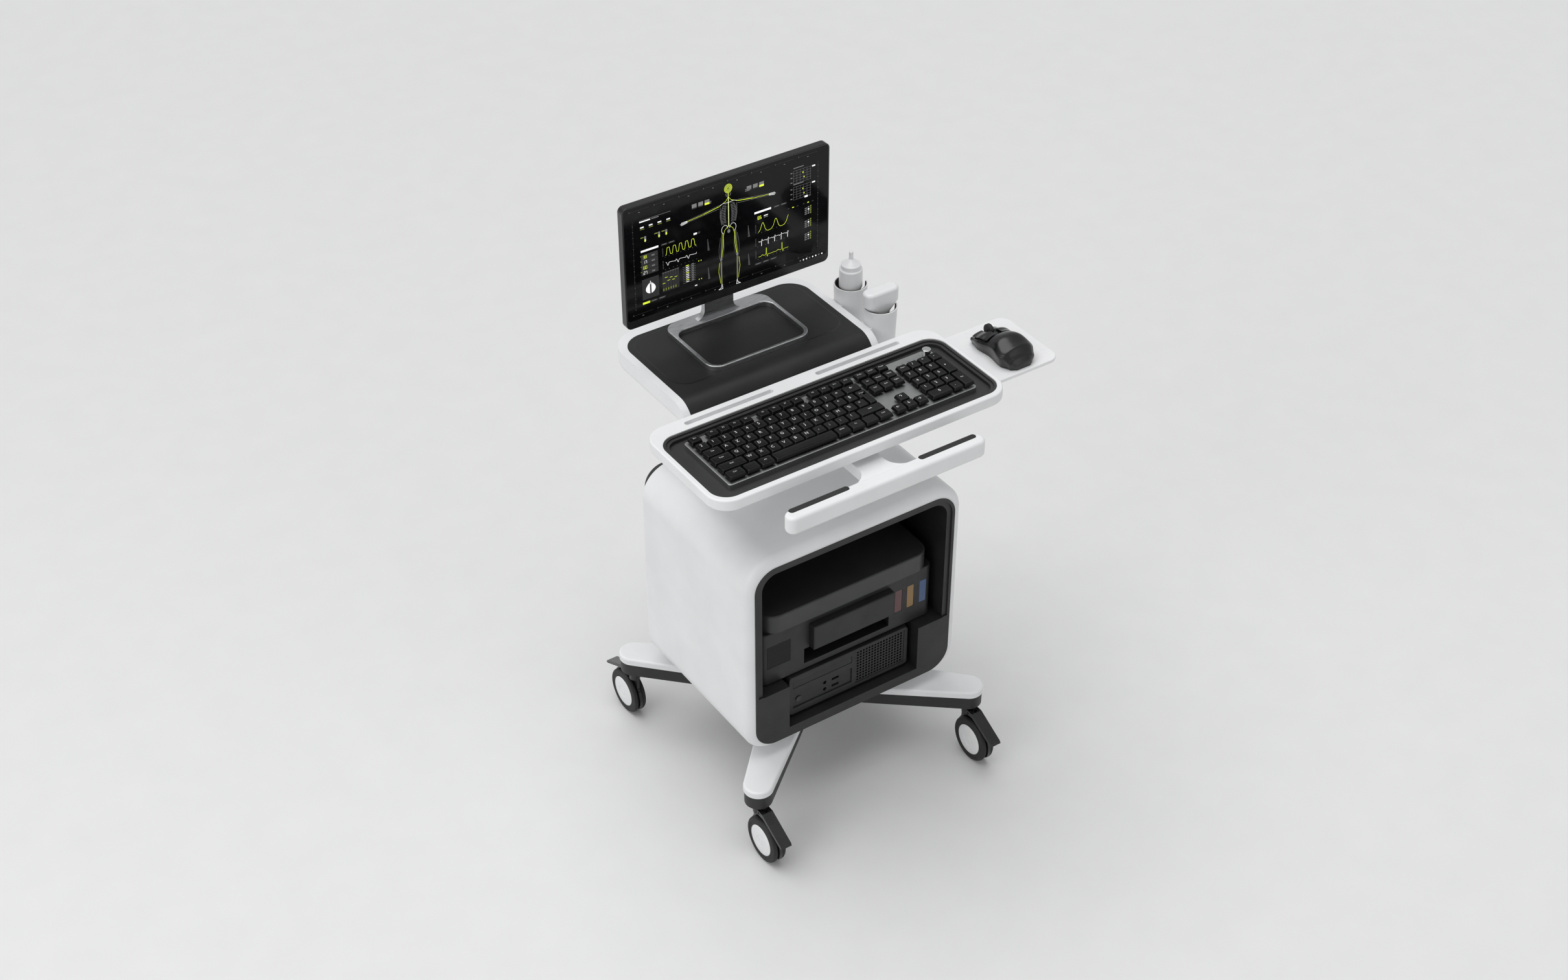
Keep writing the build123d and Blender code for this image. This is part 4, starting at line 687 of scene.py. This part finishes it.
for corner, sx, sy in (("fl", -1, -1), ("fr", 1, -1), ("bl", -1, 1), ("br", 1, 1)):
    tyre, hub = Builder(), Builder()
    for face in (-1, 1):
        lathe(tyre, TYRE, on_axle(sx, sy, face), 96)
        lathe(hub, HUB, on_axle(sx, sy, face), 72)
    tyre_piece = tyre.piece(f"tyre_{corner}", RUBBER, f"wheel_{corner}", "tyre_rubber")
    hub_piece = hub.piece(f"hub_{corner}", WHITE_SMOOTH, f"wheel_{corner}", "white_shell")
    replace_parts(soft(tyre_piece), f"caster_tyre_{corner}")
    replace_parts(soft(hub_piece), f"caster_hub_cap_{corner}")

# ---- mouse ------------------------------------------------------------------------------------------
MOUSE_X, MOUSE_Y, MOUSE_LOW, MOUSE_LONG = 316.0, -68.0, 651.4, 101.0
SPLIT, PANEL_EDGE = 0.44, 0.56


def ease(t, points):
    """Smooth value at t through (place, value) pairs."""
    for (t0, v0), (t1, v1) in zip(points, points[1:]):
        if t <= t1:
            part = (t - t0) / (t1 - t0)
            return v0 + (v1 - v0) * part * part * (3 - 2 * part)
    return points[-1][1]


HALF_WIDTH = [(0, 19), (0.06, 27.5), (0.25, 31.5), (0.48, 28.5), (0.78, 32.5), (0.94, 25), (1, 15)]
HEIGHT = [(0, 11), (0.07, 17), (0.3, 27.5), (0.62, 37.2), (0.84, 31), (0.95, 19), (1, 10)]


def mouse_point(t, s, inset):
    """A point of the mouse: t runs from its front to its back, s from the left foot to the right foot."""
    half = ease(t, HALF_WIDTH) - inset
    tall = ease(t, HEIGHT) - inset
    angle = s * math.radians(100)
    x = half * math.copysign(abs(math.sin(angle)) ** 0.8, s)
    z = tall * max(0.0, math.cos(angle * 0.9)) ** 0.75
    pinch = 1 - 0.16 * max(0.0, abs(s) - 0.72) / 0.28
    ridge = -1.3 * math.exp(-((abs(s) - 0.66) / 0.035) ** 2) if 0.1 < t < 0.95 else 0.0
    y = MOUSE_LONG * (0.5 - t) - inset * (1 - 2 * t)
    return (MOUSE_X + (x + math.copysign(ridge, s) * abs(s)) * pinch, MOUSE_Y + y, MOUSE_LOW + z)


def grid_faces(first, rows, columns, flip):
    """Faces of a grid of points."""
    faces = []
    for i in range(rows - 1):
        for j in range(columns - 1):
            a = first + i * columns + j
            face = (a, a + 1, a + columns + 1, a + columns)
            faces.append(face[::-1] if flip else face)
    return faces


def mouse_shell(name, body, ts, ss, outer, inner):
    """A thin panel of the mouse between two insets, closed round its rim."""
    rows, columns = len(ts), len(ss)
    verts = [mouse_point(t, s, inset) for inset in (outer, inner) for t in ts for s in ss]
    half = rows * columns
    faces = grid_faces(0, rows, columns, False) + grid_faces(half, rows, columns, True)
    rim = list(range(columns))
    rim += [i * columns + columns - 1 for i in range(1, rows)]
    rim += [(rows - 1) * columns + j for j in range(columns - 2, -1, -1)]
    rim += [i * columns for i in range(rows - 2, 0, -1)]
    faces += [(a, b, b + half, a + half) for a, b in zip(rim, rim[1:] + rim[:1])]
    return soft(mesh_piece(name, verts, faces, MOUSE_BLACK, body), 40)


lengths = [i / 60 for i in range(61)]
acrosses = [-1 + j / 36 for j in range(73)]
PANEL_SEAT, PANEL_SKIN = 3.0, 1.1
core_verts = []
for t in lengths:
    for s in acrosses:
        sunk = t < SPLIT and abs(s) < PANEL_EDGE
        core_verts.append(mouse_point(t, s, PANEL_SEAT if sunk else 0.0))
core_faces = grid_faces(0, len(lengths), len(acrosses), False)
columns = len(acrosses)
for i in range(len(lengths) - 1):
    core_faces.append((i * columns, (i + 1) * columns, (i + 2) * columns - 1, (i + 1) * columns - 1))
core_faces.append(tuple(range(columns)))
core_faces.append(tuple((len(lengths) - 1) * columns + j for j in reversed(range(columns))))
mouse_core = mesh_piece("mouse_form", core_verts, core_faces, MOUSE_BLACK, "mouse")
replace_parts(soft(mouse_core, 40), "mouse_body")
press_lengths = [0.004 + (SPLIT - 0.04) * i / 24 for i in range(25)]
for side, side_name in ((-1, "left"), (1, "right")):
    press_across = [side * (0.075 + (PANEL_EDGE - 0.14) * j / 16) for j in range(17)]
    press = mouse_shell(f"mouse_{side_name}_panel", f"{side_name}_button", press_lengths, press_across,
                        0.0, PANEL_SKIN)
    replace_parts(press, f"mouse_{side_name}_button")

# ---- painted shade: a dark line laid over the groove in the deck's top, in place of its shadow ---
groove = Builder()
outer_ring = rounded_loop(0, 167, 298.6, 146.6, 30.3, 10)
inner_ring = rounded_loop(0, 167, 294.4, 142.4, 28.2, 10)
count = len(outer_ring)
groove.verts = [(x, y, 672.04) for x, y in outer_ring + inner_ring]
groove.faces = [(i, (i + 1) % count, (i + 1) % count + count, i + count) for i in range(count)]
# Painted shade: this black ring just above the deck top stands in for the shadow in the groove.
groove.piece("deck_groove_painted_shade", GLOSS_BLACK, "carriage", "charcoal_plastic")

# ---- printer windows -----------------------------------------------------------------------------------
PANE_MID, PANE_TALL, PANE_CORNER = 315.0, 42.0, 1.8
PANES = ((86.0, 99.5, INK_RED), (109.0, 121.5, INK_AMBER), (132.0, 145.0, INK_BLUE),
         (-146.0, -104.5, GLASS))
for count, (low, high, material) in enumerate(PANES):
    pane = Builder()
    loops = []
    for y, inset in ((-125.0, 0.0), (-127.4, 0.0), (-127.9, 0.5)):
        ring = rounded_loop((low + high) / 2, PANE_MID, high - low - 2 * inset, PANE_TALL - 2 * inset,
                            PANE_CORNER)
        loops.append([(px, y, pz) for px, pz in ring])
    pane.stack(loops)
    soft(pane.piece(f"printer_pane_{count}", material, "base", "ink_windows"))

# ---- stage ----------------------------------------------------------------------------------------------
FLOOR = moulded("studio_floor", (0.685, 0.685, 0.685), (0.70, 0.70, 0.70), 0.75, 300.0, 0.02)
FLOOR.node_tree.nodes["Principled BSDF"].inputs["Specular IOR Level"].default_value = 0.1
bpy.ops.mesh.primitive_plane_add(size=160, location=(0, 0, 0))
floor = bpy.context.object
floor.name = "studio_floor"
floor.data.materials.append(FLOOR)

world = bpy.data.worlds.new("studio")
bpy.context.scene.world = world
world.use_nodes = True
world.node_tree.nodes["Background"].inputs["Color"].default_value = (0.98, 0.99, 1.0, 1)
world.node_tree.nodes["Background"].inputs["Strength"].default_value = 0.4

overhead = bpy.data.lights.new("overhead", "SUN")
overhead.energy = 2.0
overhead.angle = math.radians(64)
overhead_holder = bpy.data.objects.new("overhead", overhead)
overhead_holder.rotation_euler = (math.radians(-9), math.radians(-8), 0)
bpy.context.scene.collection.objects.link(overhead_holder)
for light_name, place, target, size, power in (
        ("left_light", (-3.4, -0.6, 1.9), (0, 0, 0.5), 2.0, 26),
        ("front_light", (1.2, -3.6, 1.8), (0, 0, 0.4), 2.4, 9)):
    lamp = bpy.data.lights.new(light_name, "AREA")
    lamp.shape = "SQUARE"
    lamp.size = size
    lamp.energy = power
    holder = bpy.data.objects.new(light_name, lamp)
    holder.location = place
    holder.rotation_euler = (Vector(target) - Vector(place)).to_track_quat("-Z", "Y").to_euler()
    bpy.context.scene.collection.objects.link(holder)

view = bpy.data.cameras.new("camera")
view.lens = 52.86
view.sensor_width = 36
camera = bpy.data.objects.new("camera", view)
camera.location = (-1.5499, -2.2548, 2.5512)
camera.rotation_euler = Vector((0.4461, 0.6617, -0.6026)).to_track_quat("-Z", "Y").to_euler()
bpy.context.scene.collection.objects.link(camera)
bpy.context.scene.camera = camera
bpy.context.scene.view_settings.view_transform = "Standard"
